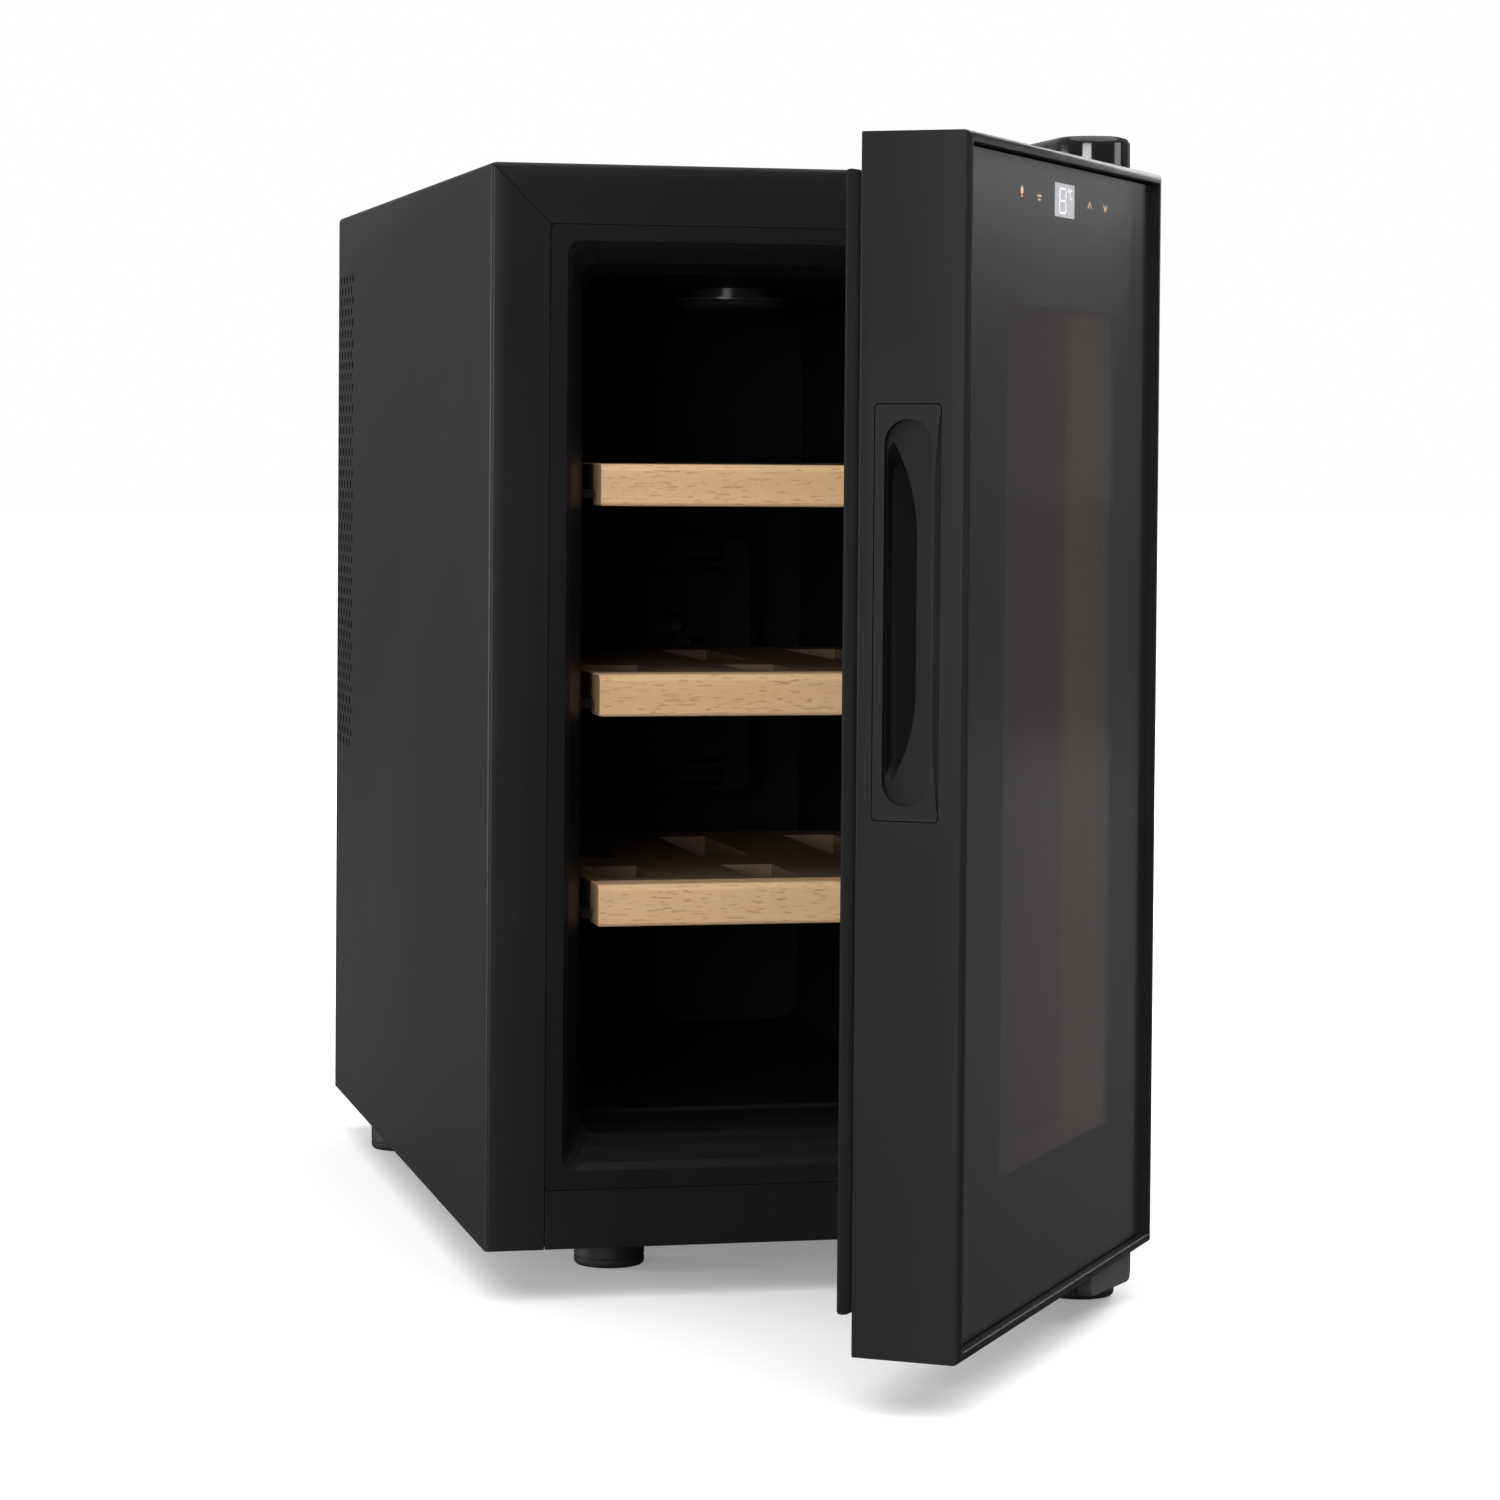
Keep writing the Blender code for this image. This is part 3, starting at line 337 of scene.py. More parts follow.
def dress_cad_nodes():
    """Every CAD node gets its slot's finish. A few pieces differ from the rest of their slot."""
    for row in frame["record"]["subparts"]:
        obj = NODES[row["node"]]
        obj.data.materials.clear()
        obj.data.materials.append(MATERIAL[SLOT[row["node"]]])
    # The shelf frames take the darkened beech, whose dark tone is painted shade.
    for number in (1, 2, 3):
        NODES[f"shelf_{number}_frame"].data.materials[0] = BEECH_FRONT_TO_BACK_PAINTED_SHADE
    for name in ("cold_heatsink", "cold_block"):
        NODES[name].data.materials[0] = BLACK_ANODISED
    NODES["inner_fan_cover"].data.materials[0] = MATERIAL["liner_plastic"]
    # The hinge skirt is black plastic, and its grey is painted light.
    NODES["hinge_skirt"].data.materials[0] = PAINTED_LIGHT_PLASTIC


def rounded_edges(obj, width, segments=2, angle=SHARP):
    """A small round on every edge sharper than the angle, as a modifier."""
    bevel = obj.modifiers.new("bevel", "BEVEL")
    bevel.width = width * MM
    bevel.segments = segments
    bevel.limit_method = "ANGLE"
    bevel.angle_limit = math.radians(angle)
    bevel.harden_normals = True


def soften(name, width, segments=2):
    """Joins a CAD node's points and rounds its edges."""
    obj = NODES[name]
    weld = obj.modifiers.new("weld", "WELD")
    weld.merge_threshold = MERGE
    rounded_edges(obj, width, segments)


# ---------------------------------------------------------------- shapes


def rounded(a0, a1, b0, b1, radius, steps=6):
    """The corners of a rectangle with round corners, as (a, b) pairs."""
    low_a, high_a, low_b, high_b = a0 + radius, a1 - radius, b0 + radius, b1 - radius
    points = []
    for turn, (a, b) in enumerate(((high_a, high_b), (low_a, high_b), (low_a, low_b), (high_a, low_b))):
        for step in range(steps + 1):
            angle = math.pi / 2 * (turn + step / steps)
            points.append((a + radius * math.cos(angle), b + radius * math.sin(angle)))
    return points


def circle(a, b, radius, sides=32):
    turns = [2 * math.pi * i / sides for i in range(sides)]
    return [(a + radius * math.cos(t), b + radius * math.sin(t)) for t in turns]


def placed(points, axis, level):
    """Flat (a, b) points as (x, d, z), with the third number along the axis."""
    if axis == "x":
        return [(level, a, b) for a, b in points]
    if axis == "d":
        return [(a, level, b) for a, b in points]
    return [(a, b, level) for a, b in points]


def loft(bm, loops, ring=False):
    """Faces between one loop of points and the next. It is closed by two end faces, or as a ring."""
    rows = [[bm.verts.new(point) for point in loop] for loop in loops]
    pairs = list(zip(rows, rows[1:]))
    if ring:
        pairs.append((rows[-1], rows[0]))
    for first, second in pairs:
        count = len(first)
        for i in range(count):
            after = (i + 1) % count
            bm.faces.new((first[i], first[after], second[after], second[i]))
    if not ring:
        bm.faces.new(rows[0][::-1])
        bm.faces.new(rows[-1])


def prism(bm, points, axis, low, high):
    loft(bm, [placed(points, axis, low), placed(points, axis, high)])


def block(bm, x0, x1, d0, d1, z0, z1):
    prism(bm, [(x0, d0), (x1, d0), (x1, d1), (x0, d1)], "z", z0, z1)


def frame_ring(bm, profile, x0, x1, z0, z1):
    """Runs a closed profile of (inset, d) round a rectangle, with mitred corners."""
    loops = []
    for x, side, z, up in ((x0, 1, z0, 1), (x1, -1, z0, 1), (x1, -1, z1, -1), (x0, 1, z1, -1)):
        loops.append([(x + side * inset, d, z + up * inset) for inset, d in profile])
    loft(bm, loops, ring=True)


def turned(bm, profile, a, b, axis="z", sides=48):
    """A round body from (radius, height) pairs; its ends are flat."""
    loft(bm, [placed(circle(a, b, radius, sides), axis, height) for radius, height in profile])


def make(name, bm, node, finish=None, angle=SHARP):
    """The bmesh, drawn in millimetres, as an object with the finish of a CAD node's slot."""
    for vert in bm.verts:
        vert.co = world(*vert.co)
    bmesh.ops.remove_doubles(bm, verts=bm.verts, dist=DOUBLES)
    bmesh.ops.recalc_face_normals(bm, faces=bm.faces)
    mesh = bpy.data.meshes.new(name)
    bm.to_mesh(mesh)
    bm.free()
    mesh.materials.append(finish or MATERIAL[SLOT[node]])
    obj = bpy.data.objects.new(name, mesh)
    bpy.context.scene.collection.objects.link(obj)
    shade(obj, angle)
    return obj


def shade(obj, angle=SHARP):
    """Smooth, but for the edges sharper than the angle."""
    obj.data.shade_smooth()
    obj.data.set_sharp_from_angle(angle=math.radians(angle))


def carve(obj, bm, operation="DIFFERENCE"):
    """Cuts the bmesh's shapes from an object, for good."""
    helper = make("helper", bm, "outer_wrap")
    helper.data.materials.clear()
    modifier = obj.modifiers.new("carve", "BOOLEAN")
    modifier.operation = operation
    modifier.solver = "EXACT"
    modifier.object = helper
    settle(obj)
    bpy.data.objects.remove(helper)


def settle(obj):
    """Turns the modifiers into mesh."""
    bpy.context.view_layer.update()
    graph = bpy.context.evaluated_depsgraph_get()
    mesh = bpy.data.meshes.new_from_object(obj.evaluated_get(graph))
    obj.modifiers.clear()
    obj.data = mesh


def stand_for(obj, node, hide=True):
    """The piece rides on the node's body; on the door it is turned open with it."""
    body = NODES[node]["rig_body"]
    if body == DOOR_BODY:
        obj.matrix_world = TURN
    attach(obj, body)
    if hide:
        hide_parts(node)
    return obj


# ---------------------------------------------------------------- cabinet

FOLD = 1.6  # outer radius of the sheet's folds
TOP_CORNER = 2.2  # radius where the sides meet the top
REAR_FLANGE = 13.0
MITRE = (1.3, 0.22)  # where the mitre's slit starts, and its half width on the slant
HOLE_COLUMNS, HOLE_PITCH = 5, 10.3
HOLE_ROWS, HOLE_TOP, HOLE_BOTTOM = 44, 395.6, 172.4
HOLE_FIRST = 394.6  # d of the frontmost holes
HOLE_RADIUS = 2.15
REAR_SCREW_HOLE, HINGE_SCREW_HOLE = 2.0, 2.3
FEET = ("foot_front_left", "foot_front_right", "foot_rear_left", "foot_rear_right", "foot_hinge")
FOOT_STEPS = (
    (2.2, 0.0),
    (0.9, 0.25),
    (0.25, 0.9),
    (0.0, 2.0),
    (0.0, 3.4),
    (0.5, 3.7),
    (0.5, 4.2),
    (0.0, 4.5),
)
HEAD_HEIGHT, SHANK, TIP = 1.6, 1.6, 1.1  # of a screw: head height, shank and tip radius
CAP_EDGE, CAP_WALL, CAP_ROOF = 3.0, 1.6, 2.5


def quarter(centre_a, centre_b, radius, start, steps=3):
    """Points on a quarter circle that begins at the angle start, in quarter turns."""
    angles = [math.pi / 2 * (start + i / steps) for i in range(steps + 1)]
    return [(centre_a + radius * math.cos(t), centre_b + radius * math.sin(t)) for t in angles]


def make_wrap():
    """One folded sheet, up one side and down the other, with a field of round holes in each side."""
    back = DEPTH
    through = (-HALF - 3, HALF + 3)
    profile = [(FLANGE, 0.0)]
    profile += [(FOLD - (a - FOLD), b) for a, b in quarter(FOLD, FOLD, FOLD, -1.0)]
    profile += [(FOLD - (a - FOLD), b) for a, b in quarter(FOLD, back - FOLD, FOLD, 0.0)]
    profile += [(REAR_FLANGE, back), (REAR_FLANGE, back - SHEET)]
    profile += [(FOLD, back - SHEET), (SHEET, back - FOLD)]
    profile += [(SHEET, FOLD), (FOLD, SHEET), (FLANGE, SHEET)]
    stations = []
    for side in (-1, 1):
        turn = []
        for step in range(5):
            angle = math.pi / 2 * step / 4
            row = []
            for inset, d in profile:
                reach = max(TOP_CORNER, inset)
                small = max(TOP_CORNER - inset, 0.0)
                x = HALF - reach + small * math.cos(angle)
                z = HEIGHT - reach + small * math.sin(angle)
                row.append((side * x, d, z))
            turn.append(row)
        foot = [(side * (HALF - inset), d, 0.0) for inset, d in profile]
        stations += ([foot] + turn) if side < 0 else (turn[::-1] + [foot])
    bm = bmesh.new()
    loft(bm, stations)
    wrap = make("outer_wrap_visual", bm, "outer_wrap")

    bm = bmesh.new()
    rise = (HOLE_TOP - HOLE_BOTTOM) / (HOLE_ROWS - 1)
    for row in range(HOLE_ROWS):
        for column in range(HOLE_COLUMNS):
            d = HOLE_FIRST + HOLE_PITCH * (column + 0.5 * (row % 2))
            prism(bm, circle(d, HOLE_TOP - rise * row, HOLE_RADIUS, 14), "x", *through)
    for number in range(1, 5):
        x, _, z = node_centre(f"rear_screw_{number}")
        prism(bm, circle(x, z, REAR_SCREW_HOLE, 16), "d", back - 3, back + 3)
    for number in (1, 2):
        x, d, _ = node_centre(f"top_hinge_screw_{number}")
        prism(bm, circle(x, d, HINGE_SCREW_HOLE, 16), "z", HEIGHT - 3, HEIGHT + 3)
    carve(wrap, bm)
    bm = bmesh.new()
    start, slit = MITRE
    deep = 0.45
    for side in (-1, 1):
        for d0, d1, inner in ((-0.5, deep, FLANGE + 1), (back - deep, back + 0.5, REAR_FLANGE + 1)):
            ends = [(start - slit, start + slit), (start + slit, start - slit)]
            ends += [(inner + slit, inner - slit), (inner - slit, inner + slit)]
            prism(bm, [(side * (HALF - a), HEIGHT - b) for a, b in ends], "d", d0, d1)
    carve(wrap, bm)
    shade(wrap)
    stand_for(wrap, "outer_wrap")


def make_rim_seal():
    """A thin black strip behind the gaps between the flange, the base and the liner's rim."""
    front, back, reach, strip = 1.62, 1.82, 4.0, 3.0
    inner, outer = FLANGE + reach, FLANGE - reach
    profile = [(outer, front), (inner, front), (inner, back), (outer, back)]
    bm = bmesh.new()
    frame_ring(bm, profile, -HALF, HALF, 0.0, HEIGHT)
    seal = make("rim_seal", bm, "gasket")
    bm = bmesh.new()
    for side in (-1, 1):
        ends = sorted((side * (HALF - FLANGE - strip), side * (HALF - FLANGE + strip)))
        block(bm, *ends, front, back, BASE_TOP + 0.4, FLANGE - strip)
    carve(seal, bm, "UNION")
    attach(seal, NODES["liner"]["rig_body"])


def make_feet():
    """Round rubber feet with a soft lower edge and a groove."""
    for node in FEET:
        low, high = node_box(node)
        x, d, _ = node_centre(node)
        radius = (high[0] - low[0]) / 2
        profile = [(radius - inset, low[2] + rise) for inset, rise in FOOT_STEPS]
        profile += [(radius, high[2] - 0.5), (radius - 0.5, high[2])]
        bm = bmesh.new()
        turned(bm, profile, x, d)
        stand_for(make(node + "_visual", bm, node, FOOT_RUBBER), node)


def make_screws():
    """Pan heads with a cross recess."""
    places = [(f"rear_screw_{n}", "d", 1) for n in range(1, 5)]
    places += [(f"top_hinge_screw_{n}", "z", 1) for n in (1, 2)]
    places += [(f"lower_hinge_screw_{n}", "z", -1) for n in (1, 2)]
    for node, axis, out in places:
        low, high = node_box(node)
        x, d, z = node_centre(node)
        head = (high[0] - low[0]) / 2
        along = (low[1], high[1]) if axis == "d" else (low[2], high[2])
        tip, top = along if out > 0 else along[::-1]
        a, b = (x, z) if axis == "d" else (x, d)
        dome = [(head, 0.0), (head, 0.5), (head * 0.93, 0.95), (head * 0.72, 1.35)]
        dome += [(head * 0.4, HEAD_HEIGHT)]
        profile = [(TIP, tip), (SHANK, tip + out * 0.8), (SHANK, top - out * HEAD_HEIGHT)]
        profile += [(r, top + out * (h - HEAD_HEIGHT)) for r, h in dome]
        bm = bmesh.new()
        turned(bm, profile, a, b, axis, 32)
        screw = make(node + "_visual", bm, node)
        long, thin, deep = head * 0.55, 0.42, 1.1
        arm = [(long, -thin), (long, thin), (thin, thin)]
        cross = []
        for turn_a, turn_b in ((1, 0), (0, 1), (-1, 0), (0, -1)):
            cross += [(a + p * turn_a - q * turn_b, b + p * turn_b + q * turn_a) for p, q in arm]
        bm = bmesh.new()
        prism(bm, cross, axis, *sorted((top - out * deep, top + out * 1.0)))
        carve(screw, bm)
        shade(screw)
        stand_for(screw, node)


def half_round(x0, x1, d0, d1, inset):
    """An outline that is half round in front, with small corners behind."""
    half, corner = (x1 - x0) / 2, 5.0
    arcs = [(x0 + half, d0 + half, half, 2, 4, 28), (x1 - corner, d1 - corner, corner, 0, 1, 8)]
    arcs.append((x0 + corner, d1 - corner, corner, 1, 2, 8))
    points = []
    for x, d, radius, start, end, steps in arcs:
        for step in range(steps + 1):
            angle = math.pi / 2 * (start + (end - start) * step / steps)
            reach = radius - inset
            points.append((x + reach * math.cos(angle), d + reach * math.sin(angle)))
    return points


def make_hinge_cover():
    """A gloss cap, half round about the hinge, with a round top edge, open below."""
    low, high = node_box("top_hinge_cover")
    sides = low[0], high[0], low[1], high[1]
    top, steps = high[2], 6
    loops = [placed(half_round(*sides, 0.0), "z", low[2])]
    for step in range(steps + 1):
        angle = math.pi / 2 * step / steps
        outline = half_round(*sides, CAP_EDGE * (1 - math.cos(angle)))
        loops.append(placed(outline, "z", top - CAP_EDGE + CAP_EDGE * math.sin(angle)))
    bm = bmesh.new()
    loft(bm, loops)
    cover = make("top_hinge_cover_visual", bm, "top_hinge_cover")
    bm = bmesh.new()
    prism(bm, half_round(*sides, CAP_WALL), "z", low[2] - 3, top - CAP_ROOF)
    carve(cover, bm)
    shade(cover, 40.0)
    stand_for(cover, "top_hinge_cover")


def make_lamp():
    """A shallow smoked dome with a bezel, on a round collar in the ceiling's hole."""
    low, high = node_box("lamp_lens")
    x, d, _ = node_centre("lamp_lens")
    radius, bottom, top = (high[0] - low[0]) / 2, low[2], high[2]
    collar, bezel, dome, steps = 16.9, 3.0, 4.3, 9
    profile = [(collar, top), (collar, bottom + 6.6), (radius, bottom + 6.4), (radius, bottom + 5.4)]
    profile += [(radius - 0.5, bottom + 4.9), (radius - 2.6, bottom + 4.7), (radius - bezel, bottom + dome)]
    for step in range(1, steps):
        angle = math.pi / 2 * step / steps
        profile.append(((radius - bezel) * math.cos(angle), bottom + dome * (1 - math.sin(angle))))
    profile.append((0.8, bottom))
    bm = bmesh.new()
    turned(bm, profile, x, d, sides=56)
    stand_for(make("lamp_lens_visual", bm, "lamp_lens", LAMP_LENS), "lamp_lens")


# ---------------------------------------------------------------- door


FRONT_EDGE, BACK_EDGE = 2.4, 0.8  # radii of the door's outer edges
LIP, FRAME_WALL = 4.0, 12.0  # width of the lip round the glass, and of the frame behind it
FRAME_GAP = 0.35  # round the handle insert
BUSH_HOLE, BUSH_DEPTH = 5.3, 15.0  # radius, and depth from the door's end
HANDLE = (-40.2, -16.4, 187.8, 331.8)  # d and z of the insert in the door's free edge
HANDLE_DEPTH = 22.0
SPACER_FRONT, SPACER_BACK, SPACER_WIDTH = -42.9, -24.6, 7.5


def make_door_frame():
    """One moulding. Its front outer edge is well rounded, and a small step shows where the glass
    sits."""
    seat = GLASS_BACK + 0.3
    rear = DOOR_BACK - BACK_EDGE
    profile = [
        (2 * FRONT_EDGE - a, DOOR_FRONT + b)
        for a, b in quarter(FRONT_EDGE, FRONT_EDGE, FRONT_EDGE, -1.0, 6)
    ]
    profile += [(2 * BACK_EDGE - a, rear + b) for a, b in quarter(BACK_EDGE, 0.0, BACK_EDGE, 0.0, 3)]
    profile += [(FRAME_WALL, DOOR_BACK), (FRAME_WALL, seat), (LIP, seat)]
    profile += [(LIP, DOOR_FRONT + 0.35), (LIP - 0.35, DOOR_FRONT)]
    bm = bmesh.new()
    frame_ring(bm, profile, -HALF, HALF, 0.0, DOOR_TOP)
    frame_piece = make("door_frame_visual", bm, "door_frame")

    pin_x, pin_d = AXIS.x / MM, AXIS.y / MM + FRONT_TO_MIDDLE
    bm = bmesh.new()
    for z0, z1 in ((0.5, FRAME_WALL), (DOOR_TOP - FRAME_WALL, DOOR_TOP - 0.5)):
        block(bm, pin_x - 9.0, HALF - 10.0, seat + 1, DOOR_BACK - 5, z0, z1)
    carve(frame_piece, bm, "UNION")

    front, back, bottom, top = HANDLE
    recess = front - FRAME_GAP, back + FRAME_GAP, bottom - FRAME_GAP, top + FRAME_GAP
    bm = bmesh.new()
    prism(bm, rounded(*recess, 1.6, 4), "x", -HALF - 3, -HALF + 14)
    for z0, z1 in ((-3.0, BUSH_DEPTH), (DOOR_TOP - BUSH_DEPTH, DOOR_TOP + 3.0)):
        prism(bm, circle(pin_x, pin_d, BUSH_HOLE), "z", z0, z1)
    carve(frame_piece, bm)
    shade(frame_piece)
    stand_for(frame_piece, "door_frame")


def rectangle(x0, x1, z0, z1, inset=0.0):
    x0, x1, z0, z1 = x0 + inset, x1 - inset, z0 + inset, z1 - inset
    return [(x0, z0), (x1, z0), (x1, z1), (x0, z1)]


def make_front_glass():
    """The front pane: a ground edge all round, a printed border, and a smoked window."""
    ground = 0.5
    edges = [(ground, GLASS_FRONT), (0.0, GLASS_FRONT + ground)]
    edges += [(0.0, GLASS_BACK - ground), (ground, GLASS_BACK)]
    loops = [placed(rectangle(*WINDOW), "d", GLASS_FRONT)]
    loops += [placed(rectangle(*GLASS, inset), "d", d) for inset, d in edges]
    loops.append(placed(rectangle(*WINDOW), "d", GLASS_BACK))
    bm = bmesh.new()
    loft(bm, loops)
    glass = make("front_glass_visual", bm, "front_glass")
    glass.data.materials.append(SMOKED_GLASS)
    x0, x1, z0, z1 = WINDOW
    for face in glass.data.polygons:
        corners = [glass.data.vertices[i].co / MM for i in face.vertices]
        wide = max(p.x for p in corners) - min(p.x for p in corners)
        tall = max(p.z for p in corners) - min(p.z for p in corners)
        if abs(wide - (x1 - x0)) < 1 and abs(tall - (z1 - z0)) < 1:
            face.material_index = 1
    stand_for(glass, "front_glass")


def make_spacer():
    """Two aluminium channels side by side between the panes. Each has three beads and a row of small
    slots on the side that faces the window."""
    x0, x1, z0, z1 = WINDOW
    front, back, wide = SPACER_FRONT, SPACER_BACK, SPACER_WIDTH
    bead, rise, channel = 0.9, 0.6, (back - front) / 2
    profile = [(0.0, back), (0.0, front)]
    for i in range(2):
        start = front + channel * i
        for shift in (0.2, channel / 2 - bead / 2, channel - bead - 0.2):
            at = start + shift
            profile += [(wide - rise, at), (wide, at + 0.2)]
            profile += [(wide, at + bead - 0.2), (wide - rise, at + bead)]
    bm = bmesh.new()
    frame_ring(bm, profile, x0 - wide, x1 + wide, z0 - wide, z1 + wide)
    spacer = make("glazing_spacer_visual", bm, "glazing_spacer", SPACER_ALUMINIUM)
    bm = bmesh.new()
    pitch, half_slot, half_width = 6.5, 1.3, 0.45
    for d in (front + channel * 0.27, front + channel * 1.27):
        for i in range(int((z1 - z0) / pitch)):
            z = z0 + 3.0 + pitch * i
            for x, side in ((x0, -1), (x1, 1)):
                ends = sorted((x - side * 1.0, x + side * 1.2))
                block(bm, *ends, d - half_width, d + half_width, z - half_slot, z + half_slot)
    carve(spacer, bm)
    shade(spacer)
    stand_for(spacer, "glazing_spacer")


def lit_shapes(name, shapes, finish, proud):
    """Flat printed shapes of the display, a hair in front of the glass."""
    bm = bmesh.new()
    for points in shapes:
        prism(bm, points, "d", GLASS_FRONT - proud, GLASS_FRONT - proud + 0.05)
    obj = make(name, bm, "display_module", finish)
    stand_for(obj, "display_module", hide=False)


def bar(x0, z0, x1, z1, width):
    """A straight stroke with pointed ends, like a display's segment."""
    length = math.hypot(x1 - x0, z1 - z0)
    ax, az = (x1 - x0) / length, (z1 - z0) / length
    h = width / 2
    sides = [(0.0, 0.0), (h, h), (length - h, h), (length, 0.0), (length - h, -h), (h, -h)]
    return [(x0 + ax * u - az * v, z0 + az * u + ax * v) for u, v in sides]


SCREEN = (-13.0, 12.4, 402.4, 414.8)  # left, right, low and high
DIGIT = (-7.2, 0.8, 403.9, 412.9)
STROKE, LETTER_STROKE = 0.6, 0.5


def make_display():
    """A lit screen with one seven-segment digit and the sign for degrees Celsius, between four keys:
    a bulb, a bar, up and down."""
    lit_shapes("display_screen", [rounded(*SCREEN, 0.3, 2)], DISPLAY_GREY, 0.06)
    left, right, low, high = DIGIT
    middle, lean, gap = (low + high) / 2, 0.5, 0.3
    segments = []
    for z, shift in ((high, lean), (middle, lean / 2), (low, 0.0)):
        segments.append(bar(left + 0.5 + shift, z, right - 0.5 + shift, z, STROKE))
    for z0, z1, shift in ((low, middle, 0.0), (middle, high, lean / 2)):
        for x in (left, right):
            segments.append(bar(x + shift, z0 + gap, x + shift + lean / 2, z1 - gap, STROKE))
    degree = circle(4.6, 412.6, 0.8, 16)
    letter_c = [
        bar(6.9, 412.8, 9.4, 412.8, LETTER_STROKE),
        bar(6.6, 409.8, 6.6, 412.6, LETTER_STROKE),
        bar(6.9, 409.6, 9.4, 409.6, LETTER_STROKE),
    ]
    lit_shapes("display_digits", segments + [degree] + letter_c, DISPLAY_WHITE, 0.12)
    bulb = [circle(-54.4, 409.4, 1.5, 24), rounded(-55.3, -53.5, 407.0, 407.5, 0.2, 2)]
    up = [bar(30.8, 407.4, 33.2, 410.0, STROKE), bar(33.2, 410.0, 35.6, 407.4, STROKE)]
    down = [bar(52.1, 410.0, 54.5, 407.4, STROKE), bar(54.5, 407.4, 56.9, 410.0, STROKE)]
    lit_shapes("keys_lit", bulb + up + down, KEY_GOLD, 0.06)
    dim = [bar(-35.6, 408.6, -29.8, 408.6, 0.8), bar(-34.4, 407.2, -31.0, 407.2, 0.8)]
    lit_shapes("keys_dim", dim, KEY_DIM, 0.06)


GASKET = (-114.0, 114.0, 12.0, 414.0)  # its outer edges, x and z
GASKET_BACK, GASKET_FRONT = -0.6, -10.1  # d of the face by the flange, and of the base on the door


def make_gasket():
    """A soft magnetic seal: a flat face just off the flange, a bulb, a fold and a base."""
    bulb = [(0.9, 0.0), (5.4, 0.0), (6.2, 0.4), (6.5, 1.3), (6.4, 3.0), (7.2, 4.2), (8.8, 4.5)]
    fold = [(11.0, 3.5), (13.2, 3.5), (14.6, 4.6), (15.0, 6.4), (14.3, 8.4)]
    base = [(13.2, 0.0), (2.4, 0.0), (1.6, 1.6), (1.9, 3.0), (0.9, 4.2), (0.2, 5.6)]
    profile = [(inset, GASKET_BACK - down) for inset, down in bulb + fold]
    profile += [(inset, GASKET_FRONT + up) for inset, up in base]
    profile += [(0.0, GASKET_BACK - 2.0), (0.2, GASKET_BACK - 0.7)]
    bm = bmesh.new()
    frame_ring(bm, profile, *GASKET)
    stand_for(make("gasket_visual", bm, "gasket", angle=48.0), "gasket")


SLOT_OPENING = (-37.3, -19.9, 192.8, 326.7)  # d and z
SLOT_CORNER = 8.6
GRIP_LEAN = 0.11  # how the grip slopes in across the slot
GRIP_EDGE = 2.4  # from the slot's back edge to where the grip's curves start
GRIP_REACH = 9.2  # from there to its straight edge
CURVES = (286.0, 320.0, 232.0, 200.0)  # z where the upper and the lower curve start and end
# Rows of the pocket from the face inwards: how much its ends close in, its depth, and its slope.
POCKET_LEVELS = ((0.0, -0.5, 0.0), (0.0, 2.0, 0.0), (7.0, 8.0, 0.0), (7.5, 8.6, 1.15))


def pocket_outline(inset):
    """The finger pocket: a straight front with a curve at each end, where the grip covers the slot."""
    back = SLOT_OPENING[1]
    top_start, top_end, low_start, low_end = CURVES
    rows = 16
    points = []
    for i in range(rows + 1):
        t = 1 - i / rows
        z = top_start + (top_end - top_start - inset) * t
        points.append((back - GRIP_EDGE - GRIP_REACH * (1 - t * t), z))
    for i in range(rows + 1):
        t = i / rows
        z = low_start - (low_start - low_end - inset) * t
        points.append((back - GRIP_EDGE - GRIP_REACH * (1 - t * t), z))
    points += [(back - 0.6, 201.5 + inset), (back - 0.1, 206.0 + inset)]
    return points + [(back - 0.1, 313.0 - inset), (back - 0.6, 317.6 - inset)]


def make_handle():
    """A cup let into the door's edge. A smooth grip slopes in from the front of a long slot, covers
    its ends, and drops along a curve into a narrow finger pocket. The front edge is cut at a slant."""
    face = -HALF
    front, back, bottom, top = HANDLE
    bm = bmesh.new()
    prism(bm, rounded(front, back, bottom, top, 1.3, 4), "x", face, face + HANDLE_DEPTH)
    handle = make("handle_insert_visual", bm, "handle_insert")

    slot_front, slot_back = SLOT_OPENING[:2]
    opening = rounded(*SLOT_OPENING, SLOT_CORNER, 14)
    grip = [(face + 1.0 + GRIP_LEAN * (a - slot_front), a, b) for a, b in opening]
    bm = bmesh.new()
    loft(bm, [placed(opening, "x", face - 2.0), grip])
    carve(handle, bm)

    bm = bmesh.new()
    levels = []
    for inset, depth, slope in POCKET_LEVELS:
        levels.append([(face + depth + slope * (slot_back - a), a, b) for a, b in pocket_outline(inset)])
    loft(bm, levels)
    carve(handle, bm)

    wide, slant = 2.1, 0.55
    facet = [(front - 2.0, bottom + 3.0), (front - 2.0, top - 3.0), (front + 0.3, top - 4.0)]
    facet += [(front + wide, top - 26.0), (front + wide, bottom + 26.0), (front + 0.3, bottom + 4.0)]
    slanted = [(face + slant * (front + wide - a), a, b) for a, b in facet]
    bm = bmesh.new()
    loft(bm, [placed(facet, "x", face - 1.0), slanted])
    carve(handle, bm)
    rounded_edges(handle, 0.25, angle=40.0)
    settle(handle)
    stand_for(handle, "handle_insert")


# ---------------------------------------------------------------- stage


